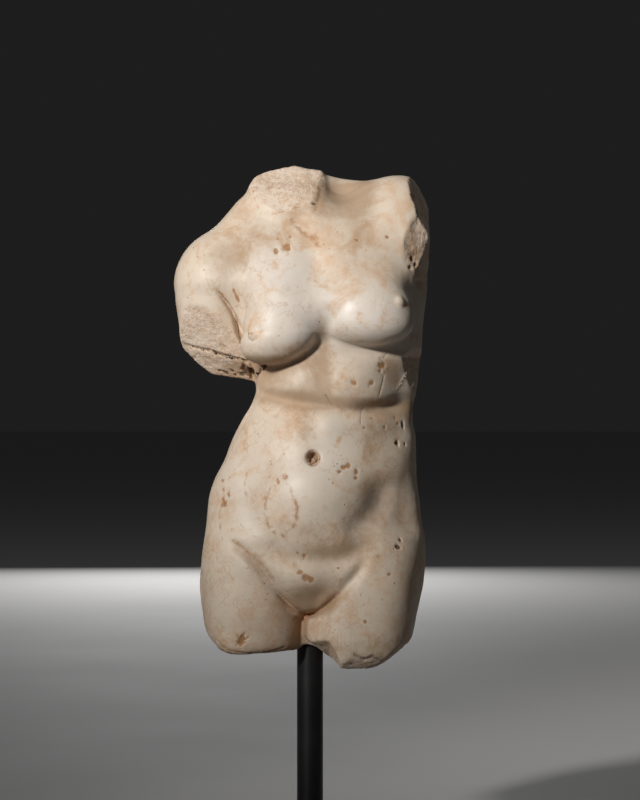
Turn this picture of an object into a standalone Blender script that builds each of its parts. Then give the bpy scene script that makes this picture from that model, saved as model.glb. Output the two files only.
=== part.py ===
"""A marble torso of a standing woman, carried by a round steel post on a square plate.

Every length below is in millimetres and is turned into metres when a mesh is made.
The figure faces -Y; "right" and "left" are the figure's own, so its right arm stump
lies towards -X.  The origin is the middle of the plate's underside.
"""
import bpy
import math
import numpy as np

MM = 0.001

# ---- the mount ---------------------------------------------------------------------
POST_RADIUS = 10.0
POST_TOP = 212.0
POST_CHAMFER = 1.2
ROUND_SIDES = 48             # facets round the post and its socket
PLATE_SIDE = 190.0
PLATE_THICK = 14.0
PLATE_CHAMFER = 1.5
GAP = 0.3                    # air left between pieces that touch
SOCKET_TOP = POST_TOP + GAP  # the blind hole drilled up between the thighs
SOCKET_START, SOCKET_CHAMFER = 100.0, 0.8

# ---- the block ---------------------------------------------------------------------
TINY = 1e-6                  # keeps powers of shares away from nought
LEAST_SHARE, LEAST_SLOPE = 1e-3, 1e-4    # keep quotients finite at a trunk's middle
FAR = 1e3                    # the value given to what lies far from the skin
NEAR_STEPS = 2.6             # coarse steps from the skin within which all is sampled
GRID = 3.0                   # spacing of the grid the skin is drawn through
COARSE = 4                   # grid steps between the first, wide-spaced samples
SKIN_TRIANGLES = 8600        # what the finished faceting keeps
PINCH_ROUNDS, PINCH_FILL = 12, -0.02     # most rounds of filling, and the value filled in
NUDGE = 0.15                 # how far apart the field is asked for its slope
SETTLE_ROUNDS, SETTLE_MOST = 2, 0.6      # rounds, and the longest slide in grid steps
BOX_LOW = np.array((-112.0, -80.0, 138.0))
BOX_HIGH = np.array((101.0, 78.0, 549.0))
FRONT_FROM, FRONT_FULL = -4.0, -22.0    # where the front's carving fades in along Y
BACK_FROM, BACK_FULL = 8.0, 24.0        # where the back's does

# Levels: height, centre line, middle depth, reach to the right, to the left, front, back,
# and how square the oval is (2 is an ellipse)
TRUNK = (
    (189.0, -3.0, 2.0, 70.0, 78.5, 29.0, 44.0, 2.2),     # under the groin
    (201.5, -3.0, 1.0, 77.0, 84.0, 36.0, 54.0, 2.2),     # thigh tops
    (217.0, -3.0, 0.0, 79.5, 88.5, 44.0, 60.0, 2.2),     # seat
    (232.5, -2.5, 0.0, 79.5, 89.5, 48.0, 61.0, 2.2),     # widest hips
    (248.0, -1.5, 0.0, 79.5, 89.5, 50.0, 59.0, 2.2),     # hip joints
    (263.0, -1.0, 0.0, 78.5, 87.0, 51.0, 55.0, 1.95),    # hip bones
    (278.5, 0.0, 0.0, 78.0, 84.5, 51.0, 50.0, 1.88),     # upper hips
    (294.0, 1.0, 0.0, 74.5, 81.5, 50.0, 45.0, 1.88),     # flanks
    (309.5, 2.5, 0.0, 68.5, 79.5, 48.0, 41.0, 1.88),     # navel
    (325.0, 4.5, 0.0, 64.5, 77.0, 46.5, 39.0, 1.90),     # above the navel
    (340.0, 7.5, 0.0, 60.0, 71.5, 45.0, 38.0, 1.92),     # under the waist
    (353.5, 11.0, 0.0, 55.5, 68.5, 44.0, 38.5, 1.92),    # waist
    (363.5, 12.5, 0.0, 54.0, 69.5, 44.0, 40.0, 1.88),    # lowest ribs
    (375.0, 12.5, 1.0, 56.0, 71.5, 44.0, 42.0, 1.88),    # rib arch
    (394.0, 11.5, 2.0, 62.5, 74.5, 45.0, 45.0, 2.0),     # under the breasts
    (413.5, 9.0, 2.0, 66.0, 78.0, 45.0, 48.0, 2.3),      # breasts
    (432.5, 7.0, 3.0, 68.5, 82.5, 45.0, 49.0, 2.5),      # chest
    (452.0, 2.5, 4.0, 68.0, 88.0, 43.0, 49.0, 2.6),      # armpits
    (471.0, -2.5, 5.0, 65.5, 90.0, 39.0, 47.0, 2.6),     # upper chest
    (490.5, -6.0, 6.0, 60.0, 87.0, 33.0, 43.0, 2.5),     # shoulders
    (505.5, -9.0, 7.0, 48.5, 82.5, 27.0, 37.0, 2.4),     # collar bones
    (517.5, -11.5, 8.0, 38.5, 77.0, 22.0, 32.0, 2.3),    # neck root
)
RIGHT_THIGH = (
    (124.5, -46.0, 2.0, 32.5, 41.0, 40.0, 42.0, 2.2),
    (163.0, -45.5, 2.0, 35.5, 40.0, 42.0, 46.0, 2.2),
    (186.0, -44.5, 2.0, 37.5, 39.5, 44.0, 50.0, 2.2),
    (209.5, -44.0, 2.0, 38.5, 38.5, 45.0, 53.0, 2.2),
    (232.5, -42.5, 2.0, 37.5, 38.5, 44.0, 54.0, 2.2),
    (255.5, -41.0, 2.0, 33.0, 37.0, 42.0, 50.0, 2.2),
)
LEFT_THIGH = (
    (124.5, 34.0, -5.0, 39.5, 37.0, 42.0, 42.0, 2.3),
    (163.0, 36.0, -5.0, 41.5, 40.0, 44.0, 46.0, 2.3),
    (186.0, 38.5, -4.0, 44.0, 42.5, 45.0, 50.0, 2.3),
    (209.5, 41.0, -3.0, 46.0, 43.0, 45.0, 53.0, 2.3),
    (232.5, 41.5, -2.0, 46.0, 44.0, 44.0, 54.0, 2.3),
    (255.5, 41.5, 0.0, 43.0, 41.5, 42.0, 50.0, 2.3),
)
TRUNK_ENDS = (9.0, 16.0)     # how softly the lowest and the highest level end
THIGH_ENDS = (2.0, 20.0)

# Eggs: centre, reaches, squareness, reach above the centre, lean of the lower half to -X
RIGHT_SEAT = ((-40.8, 32.0, 220.8), (38.0, 33.0, 41.0), 2.0, 41.0, 0.0)
LEFT_SEAT = ((38.5, 30.0, 224.7), (37.0, 33.0, 41.0), 2.0, 41.0, 0.0)
LEFT_SHOULDER = ((69.3, 5.0, 492.7), (32.0, 30.0, 35.0), 2.0, 35.0, 0.0)
RIGHT_SHOULDER = ((-70.2, 2.0, 440.3), (32.0, 30.0, 40.0), 2.0, 40.0, 0.0)
RIGHT_BREAST = ((-20.5, -35.5, 406.5), (30.0, 28.0, 24.0), 2.2, 38.0, 0.42)
LEFT_BREAST = ((44.0, -34.0, 416.5), (35.5, 28.0, 20.0), 2.25, 34.0, 0.0)

# Limbs: start, end, radius at the start, radius at the end
WEB = ((-2.0, 2.0, 120.0), (-2.0, 2.0, 216.0), 16.0, 18.0)           # between the thighs
LEFT_SLOPE_INNER = ((-2.0, 18.0, 509.5), (30.0, 15.0, 502.0), 24.0, 23.0)
LEFT_SLOPE_OUTER = ((30.0, 15.0, 502.0), (69.3, 8.0, 502.0), 23.0, 23.0)
RIGHT_SLOPE = ((-19.2, 12.0, 498.8), (-66.2, 6.0, 452.6), 25.0, 30.0)
COLLAR_BONE = ((6.2, -15.0, 496.0), (63.1, -7.0, 507.0), 7.0, 8.0)
RIGHT_CHEST = ((-64.0, -1.0, 452.0), (-16.0, -13.0, 447.0), 24.5, 27.0)
LEFT_CHEST = ((66.0, -2.0, 476.0), (22.0, -13.0, 455.0), 23.0, 27.0)
NECK_ROOT = ((-20.0, 6.0, 478.8), (-18.5, 0.0, 555.8), 31.0, 28.5)
UPPER_ARM = ((-75.0, 0.0, 440.3), (-70.0, 0.0, 355.6), 27.0, 28.0)

# How wide the rounded valleys are where parts meet
BETWEEN_THIGHS, ROUND_WEB, BETWEEN_SEATS, UNDER_SEATS = 5.0, 6.0, 5.0, 8.0
THIGH_TOPS, GROIN = 10.0, 2.5           # round the hips, and in front under the groin
GROIN_TOP, GROIN_LOW, GROIN_BACK, GROIN_FRONT = 230.0, 208.0, -2.0, -14.0
BETWEEN_SLOPES, ROUND_SHOULDER, ACROSS_SLOPES, ROUND_COLLAR, ROUND_CHEST = 4.0, 9.0, 6.0, 7.0, 14.0
ON_TRUNK = 14.0
NECK_RIGHT, NECK_LEFT, NECK_SPAN = 4.0, 7.0, 12.0
BREAST_FOLD, BREAST_SLOPE = 3.5, 25.5   # under a breast, and where it runs into the chest
BREAST_SPAN, BREAST_UP = 28.0, 0.9
SLOPE_FROM, SLOPE_FULL = -0.05, 0.95
RIGHT_INWARD, LEFT_INWARD = 0.45, -0.30   # how far that slope leans sideways
ARM_IN_SHOULDER = 8.0
ARMPIT_FOLD, ARMPIT_TOP, ARMPIT_LOW, ARMPIT_HIGH = 3.0, 16.0, 424.0, 447.0

# Swells: height, across, up, half width across, half width up, turn in degrees
FRONT_SWELLS = (
    (8.0, 2.5, 281.0, 34.0, 32.5, 0.0),             # belly
    (2.0, -7.5, 331.0, 13.0, 9.0, 0.0),             # muscle right of the middle line
    (2.0, 17.5, 335.5, 14.0, 9.0, 0.0),             # muscle left of it
    (-5.0, 68.0, 272.0, 23.0, 27.0, 0.0),           # hollow of the left flank
    (-4.0, 70.0, 366.0, 17.0, 18.0, 0.0),           # side of the left ribs
    (-3.0, 64.0, 330.0, 17.0, 13.0, 0.0),           # over the left hip
    (-9.0, -44.0, 374.0, 17.0, 7.0, 0.0),           # under the right breast
    (-2.5, 50.0, 393.0, 24.0, 6.0, 0.0),            # under the left breast
    (3.0, -12.5, 368.5, 15.5, 11.5, 0.0),           # right rib arch
    (2.6, 36.0, 372.5, 20.0, 14.0, 0.0),            # left rib arch
    (-1.4, 9.0, 371.0, 9.0, 15.5, 0.0),             # hollow under the breastbone
    (4.0, 9.0, 428.0, 12.0, 18.0, 0.0),             # between the breasts
    (3.0, 80.0, 474.0, 10.0, 17.0, 0.0),            # front of the left shoulder
    (5.0, -2.5, 221.5, 23.0, 17.0, 0.0),            # pubic mound
)
BACK_SWELLS = (
    (3.5, -7.5, 325.0, 8.5, 42.5, 0.0),             # right loin
    (3.5, 21.0, 326.5, 8.5, 42.5, 0.0),             # left loin
    (4.5, -41.5, 444.0, 17.0, 26.0, 18.0),          # right shoulder blade
    (4.5, 40.0, 462.0, 17.0, 26.0, -18.0),          # left shoulder blade
    (-2.0, -17.0, 265.5, 6.0, 6.0, 0.0),            # right dimple over the seat
    (-2.0, 21.5, 268.0, 6.0, 6.0, 0.0),             # left dimple over the seat
)
BESIDE_NECK = (10.0, 24.0, 518.0, 14.0, 15.0, 0.0)  # hollow left of the neck
BESIDE_NECK_FROM, BESIDE_NECK_FULL = 18.0, 2.0

# Furrows: depth, half width, whether the ends fade, the path as (across, up)
PATH_STEP, FEWEST_STEPS = 5.0, 8         # how finely a path is drawn
FADE = 0.25                              # the share of a path over which each end fades
FRONT_FURROWS = (
    (4.2, 5.5, False, ((-51, 364), (-34.5, 359.5), (-19, 355.5), (11.5, 351), (31, 347),
                       (54, 350), (88.5, 357))),                    # waist crease
    (3.2, 7.5, True, ((30, 348), (50, 347.5), (70, 348), (90, 350),
                      (115, 354))),                                 # its deep left part
    (4.6, 10.5, True, ((56, 300), (54.5, 291), (51, 279), (44, 267), (35, 258),
                       (23, 250.5))),                               # left edge of the belly
    (2.5, 10.0, True, ((-46, 317), (-44.5, 278.5), (-40, 248))),    # right edge of the belly
    (3.5, 8.0, True, ((-50, 259.5), (-31, 242.5), (-7.5, 235), (19, 235.5), (38.5, 243),
                      (58, 260))),                                  # fold under the belly
    (1.4, 7.0, True, ((2.5, 350), (2.0, 336), (1.5, 322))),         # line above the navel
    (3.4, 4.6, True, ((-66, 251), (-56.5, 246), (-49, 241), (-41, 233.5), (-34, 223.5),
                      (-26, 213), (-18.5, 205), (-9, 195), (-2, 191.5))),      # right groin
    (3.4, 4.6, True, ((-9, 195), (-2, 191.5), (7.5, 195.5), (15, 202), (23, 209.5),
                      (30, 217.5), (39, 229.5), (45, 241))),        # left groin
    (3.0, 2.2, True, ((-30, 217), (-19, 204.5), (-9, 195.5), (-2, 192), (6, 194.5),
                      (15, 201.5), (27, 214))),                     # its crisp foot
    (1.2, 7.5, True, ((-5.5, 492.5), (1.5, 467), (7.5, 440.5), (11.5, 402))),  # breastbone
)
BACK_FURROWS = (
    (3.5, 6.0, True, ((-16, 505.5), (-7.5, 463.5), (1.5, 409.5), (6, 355.5), (4.5, 309.5),
                      (1.5, 263))),                                 # spine
    (2.0, 7.0, True, ((-20, 471), (-21.5, 432.5), (-37, 405.5))),   # inside the right blade
    (2.0, 7.0, True, ((14, 479), (20, 444), (40, 423.5))),          # inside the left blade
    (7.0, 4.5, True, ((2.5, 263), (-1, 232.5), (-3, 201.5), (-5.5, 155.5))),   # cleft
    (4.0, 4.5, True, ((-68, 190), (-50, 177), (-27, 173), (-4.5, 181.5))),     # right fold
    (4.0, 4.5, True, ((-6, 178.5), (19, 171), (46, 175.5), (68, 192.5))),      # left fold
    (1.6, 7.0, False, ((-51, 364), (-19, 357), (11.5, 354), (54, 354), (88.5, 357))),  # waist
)
ARMPIT = (2.6, 2.0, True, ((-71.0, 440.0), (-67.8, 434.9), (-63.2, 429.5), (-59.4, 422.7),
                           (-56.3, 416.6), (-54.0, 409.0), (-52.5, 401.3)))
NAVEL_ACROSS, NAVEL_UP = 1.9, 311.7
NAVEL_RADIUS, NAVEL_DEPTH = 4.3, 8.0
NAVEL_DIMPLE_RADIUS, NAVEL_DIMPLE = 8.5, 1.2

# Breaks: a point on the flat face, where it looks, how far its edges are eased
NECK_BREAKS = (
    ((-20.0, -8.0, 517.3), (0.03, -0.70, 0.71), 1.2),       # slant looking forwards and up
    ((-17.0, 6.0, 536.6), (-0.25, 0.10, 0.96), 2.5),        # top, right
    ((-2.0, 6.0, 536.2), (0.25, 0.10, 0.96), 2.5),          # top, left
    ((-46.5, 0.0, 521.5), (-0.84, 0.0, 0.54), 4.0),         # right side
    ((8.5, 8.8, 532.7), (0.80, -0.45, 0.34), 1.2),          # left side
)
ARM_BREAKS = (
    ((-73.7, -23.2, 417.1), (-0.373, -0.725, -0.579), 1.2),     # upper facet
    ((-75.0, -4.0, 392.3), (-0.40, -0.56, -0.72), 1.2),         # lower facet
    ((-68.0, 20.0, 376.0), (-0.10, 0.15, -0.98), 1.2),          # underside
    ((-86.0, 20.0, 385.0), (-0.66, 0.10, -0.74), 1.2),          # outer corner
)
SHOULDER_BREAKS = (
    ((77.5, -21.0, 508.5), (0.885, -0.281, 0.371), 1.2),        # slant over the joint
    ((91.2, 0.0, 470.0), (1.0, 0.0, 0.0), 2.0),                 # upright outer face
)
SIDE_BREAK = ((88.4, -20.0, 477.8), (0.902, -0.353, -0.249), 1.0)   # under the joint
SIDE_BREAK_LOW, SIDE_BREAK_FADE = 446.0, 0.6
EDGE_BREAK = ((78.0, -24.5, 470.0), (0.56, -0.83, -0.06), 1.0)      # its front edge
EDGE_BREAK_LOW, EDGE_BREAK_FADE = 462.0, 0.3
RIB_BREAK = ((69.0, -26.5, 376.0), (0.89, -0.45, 0.05), 1.0)        # on the left ribs
RIB_BREAK_MIDDLE, RIB_BREAK_HALF, RIB_BREAK_FADE = 375.0, 13.0, 0.9
RIGHT_THIGH_BREAKS = (
    ((-46.0, 0.0, 163.6), (0.04, 0.0, -1.0), 6.0),
    ((-79.0, 0.0, 174.5), (-0.70, 0.0, -0.70), 9.0),
)
LEFT_THIGH_BREAKS = (
    ((46.0, 0.0, 152.6), (0.0, 0.0, -1.0), 5.0),
    ((6.2, 0.0, 167.6), (-0.65, 0.0, -0.76), 1.5),
    ((48.0, -44.0, 160.5), (0.15, -0.66, -0.74), 2.0),
    ((70.8, 0.0, 165.4), (0.62, -0.10, -0.78), 3.0),
)
THIGH_NOTCH = ((13.0, -42.0, 173.7), (-0.30, -0.42, -0.86), 1.0)    # chip at its inner edge
THIGH_NOTCH_EDGE, THIGH_NOTCH_FADE = 15.0, 1.5
WEB_BREAK = ((-2.0, 0.0, 170.0), (0.0, 0.0, -1.0), 1.5)


# ---- shapes: each returns a distance, negative inside the stone ---------------------
def ramp(x, low, high):
    """0 below low, 1 above high, an S curve between them (low may be the larger)."""
    t = np.clip((x - low) / (high - low), 0.0, 1.0)
    return t * t * (3.0 - 2.0 * t)


def join(a, b, soft):
    """Both shapes, with a rounded valley about `soft` wide where they meet."""
    h = np.clip(0.5 + 0.5 * (b - a) / soft, 0.0, 1.0)
    return b + (a - b) * h - soft * h * (1.0 - h)


def cut(a, b, soft):
    """What the two shapes share, with the edge between them eased by `soft`."""
    return -join(-a, -b, soft)


def along(xs, ys):
    """A smooth curve through (xs, ys) that never overshoots a high or low point."""
    xs, ys = np.asarray(xs, float), np.asarray(ys, float)
    gaps = np.diff(xs)
    rise = np.diff(ys) / gaps
    lean = np.zeros_like(ys)
    lean[0], lean[-1] = rise[0], rise[-1]
    for i in range(1, len(xs) - 1):
        if rise[i - 1] * rise[i] > 0:
            w1, w2 = 2 * gaps[i] + gaps[i - 1], gaps[i] + 2 * gaps[i - 1]
            lean[i] = (w1 + w2) / (w1 / rise[i - 1] + w2 / rise[i])

    def at(x):
        x = np.clip(x, xs[0], xs[-1])
        i = np.clip(np.searchsorted(xs, x, side="right") - 1, 0, len(gaps) - 1)
        t = (x - xs[i]) / gaps[i]
        u = 1.0 - t
        return ((1 + 2 * t) * u * u * ys[i] + t * u * u * gaps[i] * lean[i]
                + t * t * (3 - 2 * t) * ys[i + 1] - t * t * u * gaps[i] * lean[i + 1])
    return at


def egg(p, centre, radii, squareness, above, lean):
    """Distance to an egg, or to a fuller cushion if it is squarer than 2; close everywhere."""
    q = p - np.array(centre)
    q[:, 0] += lean * np.maximum(-q[:, 2], 0.0)
    tall = np.where(q[:, 2] > 0.0, above, radii[2])
    r = np.stack([np.full(len(p), radii[0]), np.full(len(p), radii[1]), tall], 1)
    n = squareness
    u = np.abs(q) / r + TINY
    k = np.sum(u ** n, axis=1) ** (1.0 / n)
    return (k - 1.0) / (np.linalg.norm(u ** (n - 1.0) / r, axis=1) * k ** (1.0 - n))


def limb(p, start, end, r_start, r_end):
    """Distance to a round limb whose radius changes evenly from start to end."""
    a, span = np.array(start), np.array(end) - np.array(start)
    t = np.clip((p - a) @ span / (span @ span), 0.0, 1.0)
    return np.linalg.norm(p - a - t[:, None] * span, axis=1) - (r_start + (r_end - r_start) * t)


def body(p, levels, ends):
    """A trunk drawn through levels: at each height a rounded oval with its own four reaches."""
    table = np.array(levels)
    across, deep, right, left, front, back, n = (
        along(table[:, 0], table[:, i])(p[:, 2]) for i in range(1, 8))
    x, y = p[:, 0] - across, p[:, 1] - deep
    a, b = np.where(x < 0, right, left), np.where(y < 0, front, back)
    u, v = np.abs(x) / a + TINY, np.abs(y) / b + TINY
    q = np.maximum((u ** n + v ** n) ** (1.0 / n), LEAST_SHARE)
    slope = np.hypot(u ** (n - 1) / a, v ** (n - 1) / b) * q ** (1 - n)
    d = (q - 1.0) / np.maximum(slope, LEAST_SLOPE)
    return cut(cut(d, p[:, 2] - table[-1, 0], ends[1]), table[0, 0] - p[:, 2], ends[0])


def broken(p, d, face, reach=0.0):
    """The shape cut by a flat break, which stands further out by `reach` where that is given."""
    point, facing, ease = face
    n = np.array(facing) / np.linalg.norm(facing)
    return cut(d, (p - np.array(point)) @ n - reach, ease)


def all_broken(p, d, faces):
    """The shape cut by several breaks, one after another."""
    for face in faces:
        d = broken(p, d, face)
    return d


def furrow(p, depth, width, fades, path):
    """How deep a groove is: `depth` on its path seen from the front, less over `width`."""
    pts = np.array(path, float)
    reach = np.concatenate([[0.0], np.cumsum(np.linalg.norm(np.diff(pts, axis=0), axis=1))])
    steps = np.linspace(0.0, reach[-1], max(FEWEST_STEPS, int(reach[-1] / PATH_STEP)))
    fine = np.stack([along(reach, pts[:, i])(steps) for i in range(2)], 1)
    strength = np.ones(len(steps))
    if fades:
        strength = ramp(np.minimum(steps, reach[-1] - steps), 0.0, FADE * reach[-1])
    q = p[:, (0, 2)]
    near, height = np.full(len(p), FAR), np.zeros(len(p))
    for a, b, ha, hb in zip(fine[:-1], fine[1:], strength[:-1], strength[1:]):
        t = np.clip((q - a) @ (b - a) / ((b - a) @ (b - a)), 0.0, 1.0)
        d = np.linalg.norm(q - a - t[:, None] * (b - a), axis=1)
        height = np.where(d < near, ha + (hb - ha) * t, height)
        near = np.minimum(near, d)
    return depth * height * np.exp(-(near / width) ** 2)


def swell(p, height, across, up, wide, tall, turn):
    """A soft hill (or hollow) seen from the front, its axes turned by `turn` degrees."""
    c, s = math.cos(math.radians(turn)), math.sin(math.radians(turn))
    x, z = p[:, 0] - across, p[:, 2] - up
    return height * np.exp(-((x * c + z * s) / wide) ** 2 - ((z * c - x * s) / tall) ** 2)


def relief(p, swells, furrows):
    """Carving laid over the trunk: what stands out less what is cut in."""
    return sum(swell(p, *s) for s in swells) - sum(furrow(p, *f) for f in furrows)


# ---- the figure --------------------------------------------------------------------
def hips(p):
    """Trunk, both thighs pressed together and broken off, and the seat."""
    right = all_broken(p, body(p, RIGHT_THIGH, THIGH_ENDS), RIGHT_THIGH_BREAKS)
    left = all_broken(p, body(p, LEFT_THIGH, THIGH_ENDS), LEFT_THIGH_BREAKS)
    past_notch = np.maximum(p[:, 0] - THIGH_NOTCH_EDGE, 0.0)
    left = broken(p, left, THIGH_NOTCH, THIGH_NOTCH_FADE * past_notch)
    web = broken(p, limb(p, *WEB), WEB_BREAK)
    thighs = join(join(right, left, BETWEEN_THIGHS), web, ROUND_WEB)
    seat = join(egg(p, *RIGHT_SEAT), egg(p, *LEFT_SEAT), BETWEEN_SEATS)
    in_groin = ramp(p[:, 2], GROIN_TOP, GROIN_LOW) * ramp(p[:, 1], GROIN_BACK, GROIN_FRONT)
    soft = THIGH_TOPS + (GROIN - THIGH_TOPS) * in_groin
    return join(join(body(p, TRUNK, TRUNK_ENDS), thighs, soft), seat, UNDER_SEATS)


def shoulders(p):
    """Left shoulder, the slopes from the neck to both shoulders, chest and collar bone."""
    slope = join(limb(p, *LEFT_SLOPE_INNER), limb(p, *LEFT_SLOPE_OUTER), BETWEEN_SLOPES)
    left = join(slope, egg(p, *LEFT_SHOULDER), ROUND_SHOULDER)
    both = join(left, limb(p, *RIGHT_SLOPE), ACROSS_SLOPES)
    chest = join(limb(p, *RIGHT_CHEST), limb(p, *LEFT_CHEST), ROUND_CHEST)
    return join(join(both, limb(p, *COLLAR_BONE), ROUND_COLLAR), chest, ROUND_CHEST)


def with_breast(p, d, breast, inward):
    """The chest with one breast: folded under it, running softly into the chest above."""
    across, _, up = breast[0]
    rise = (inward * (p[:, 0] - across) + BREAST_UP * (p[:, 2] - up)) / BREAST_SPAN
    soft = BREAST_FOLD + (BREAST_SLOPE - BREAST_FOLD) * ramp(rise, SLOPE_FROM, SLOPE_FULL)
    return join(d, egg(p, *breast), soft)


def torso(p):
    """The whole block: negative inside the marble, in millimetres."""
    up = p[:, 2]
    front = ramp(p[:, 1], FRONT_FROM, FRONT_FULL)
    back = ramp(p[:, 1], BACK_FROM, BACK_FULL)
    neck = all_broken(p, limb(p, *NECK_ROOT), NECK_BREAKS)
    trunk = join(hips(p), shoulders(p), ON_TRUNK)
    trunk = trunk + ramp(p[:, 1], BESIDE_NECK_FROM, BESIDE_NECK_FULL) * swell(p, *BESIDE_NECK)
    d = join(trunk, neck, NECK_RIGHT + (NECK_LEFT - NECK_RIGHT) * ramp(p[:, 0], 0.0, NECK_SPAN))
    d = d - front * relief(p, FRONT_SWELLS, FRONT_FURROWS)
    d = d - back * relief(p, BACK_SWELLS, BACK_FURROWS)
    d = broken(p, d, SIDE_BREAK, SIDE_BREAK_FADE * np.maximum(SIDE_BREAK_LOW - up, 0.0))
    d = broken(p, d, EDGE_BREAK, EDGE_BREAK_FADE * np.maximum(EDGE_BREAK_LOW - up, 0.0))
    past_ribs = np.maximum(np.abs(up - RIB_BREAK_MIDDLE) - RIB_BREAK_HALF, 0.0)
    d = broken(p, d, RIB_BREAK, RIB_BREAK_FADE * past_ribs)
    d = with_breast(p, d, RIGHT_BREAST, RIGHT_INWARD)
    d = with_breast(p, d, LEFT_BREAST, LEFT_INWARD)
    arm = join(egg(p, *RIGHT_SHOULDER), limb(p, *UPPER_ARM), ARM_IN_SHOULDER)
    arm = all_broken(p, arm, ARM_BREAKS)
    d = join(d, arm, ARMPIT_FOLD + (ARMPIT_TOP - ARMPIT_FOLD) * ramp(up, ARMPIT_LOW, ARMPIT_HIGH))
    d = d + front * furrow(p, *ARMPIT)
    r = np.hypot(p[:, 0] - NAVEL_ACROSS, up - NAVEL_UP)
    d = d + front * (NAVEL_DEPTH * np.exp(-(r / NAVEL_RADIUS) ** 4)
                     + NAVEL_DIMPLE * np.exp(-(r / NAVEL_DIMPLE_RADIUS) ** 2))
    return all_broken(p, d, SHOULDER_BREAKS)


# ---- from distances to a skin ------------------------------------------------------
def sample(field, low, high, step, coarse):
    """Values of the field on a grid: everywhere on a coarse one, fully only near the skin."""
    count = np.ceil((high - low) / (step * coarse)).astype(int) * coarse + 1
    axes = [low[i] + step * np.arange(count[i]) for i in range(3)]
    rough_axes = [a[::coarse] for a in axes]
    rough = field(np.stack(np.meshgrid(*rough_axes, indexing="ij"), -1).reshape(-1, 3))
    rough = rough.reshape([len(a) for a in rough_axes])
    near = np.abs(rough) < NEAR_STEPS * step * coarse
    for axis in range(3):
        near = near | np.roll(near, 1, axis) | np.roll(near, -1, axis)
    block = np.ones((coarse, coarse, coarse))
    trim = tuple(slice(0, n) for n in count)
    values = np.kron(np.where(rough > 0, FAR, -FAR), block)[trim]
    full = np.kron(near, block)[trim] > 0.5
    values[full] = field(low + step * np.argwhere(full))
    return values


def fill_pinches(values, step):
    """Fill the grid corners where stone would meet stone only along an edge or at a point."""
    filled = PINCH_FILL * step
    for _ in range(PINCH_ROUNDS):
        inside = values < 0
        found = False
        for u, v in ((0, 1), (0, 2), (1, 2)):
            near, far = [slice(None)] * 3, [slice(None)] * 3
            near[u] = near[v] = slice(0, -1)
            far[u] = far[v] = slice(1, None)
            side, top = list(near), list(near)
            side[u] = top[v] = slice(1, None)
            four = [tuple(k) for k in (near, far, side, top)]
            a, b, c, d = (inside[k] for k in four)
            pinched = (a == b) & (c == d) & (a != c)
            if pinched.any():
                found = True
                for k in four:
                    view = values[k]
                    view[pinched] = np.minimum(view[pinched], filled)
        if not found:
            return


def skin(values, low, step):
    """One point in every cell the skin passes through, four such points round each edge."""
    inside = values < 0
    cells = tuple(n - 1 for n in values.shape)
    total = np.zeros(cells, int)
    for i in range(8):
        o = ((i >> 2) & 1, (i >> 1) & 1, i & 1)
        total += inside[tuple(slice(o[k], cells[k] + o[k]) for k in range(3))]
    mixed = (total > 0) & (total < 8)
    where = np.argwhere(mixed)
    number = np.full(cells, -1)
    number[mixed] = np.arange(len(where))
    sums, hits = np.zeros((len(where), 3)), np.zeros(len(where))
    for i in range(8):
        start = np.array(((i >> 2) & 1, (i >> 1) & 1, i & 1))
        for axis in range(3):
            if start[axis]:
                continue
            end = start.copy()
            end[axis] = 1
            va, vb = values[tuple((where + start).T)], values[tuple((where + end).T)]
            crossed = (va < 0) != (vb < 0)
            t = np.where(crossed, va / np.where(crossed, va - vb, 1.0), 0.0)
            sums += crossed[:, None] * (start + t[:, None] * (end - start))
            hits += crossed
    points = low + step * (where + sums / hits[:, None])
    faces = []
    for axis in range(3):
        u, v = (axis + 1) % 3, (axis + 2) % 3
        edge = np.argwhere(np.diff(inside.astype(int), axis=axis) != 0)
        ring = []
        for du, dv in ((1, 1), (0, 1), (0, 0), (1, 0)):
            shifted = edge.copy()
            shifted[:, u] -= du
            shifted[:, v] -= dv
            ring.append(number[tuple(shifted.T)])
        quads = np.stack(ring, 1)
        starts_out = ~inside[tuple(edge.T)]
        quads[starts_out] = quads[starts_out][:, ::-1]
        faces.append(quads)
    return points, np.concatenate(faces)


def settle(field, points, rounds, most):
    """Slide the points along the field's slope until they lie on the skin."""
    for _ in range(rounds):
        slope = np.stack([field(points + e) - field(points - e)
                          for e in np.eye(3) * NUDGE], 1) / (2.0 * NUDGE)
        pull = field(points) / np.maximum((slope * slope).sum(1), LEAST_SLOPE)
        points = points - np.clip(pull, -most, most)[:, None] * slope
    return points


# ---- objects -----------------------------------------------------------------------
def material(name, colour, roughness, metallic=0.0):
    m = bpy.data.materials.new(name)
    m.use_nodes = True
    shader = m.node_tree.nodes["Principled BSDF"]
    shader.inputs["Base Color"].default_value = (*colour, 1.0)
    shader.inputs["Roughness"].default_value = roughness
    shader.inputs["Metallic"].default_value = metallic
    return m


def solid(name, points, faces, finish, smooth=True):
    """A named object from points in millimetres and a list of faces."""
    mesh = bpy.data.meshes.new(name)
    mesh.from_pydata((np.asarray(points) * MM).tolist(), [], [list(map(int, f)) for f in faces])
    mesh.polygons.foreach_set("use_smooth", [smooth] * len(mesh.polygons))
    mesh.update()
    piece = bpy.data.objects.new(name, mesh)
    bpy.context.scene.collection.objects.link(piece)
    if finish is not None:
        mesh.materials.append(finish)
    return piece


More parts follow.
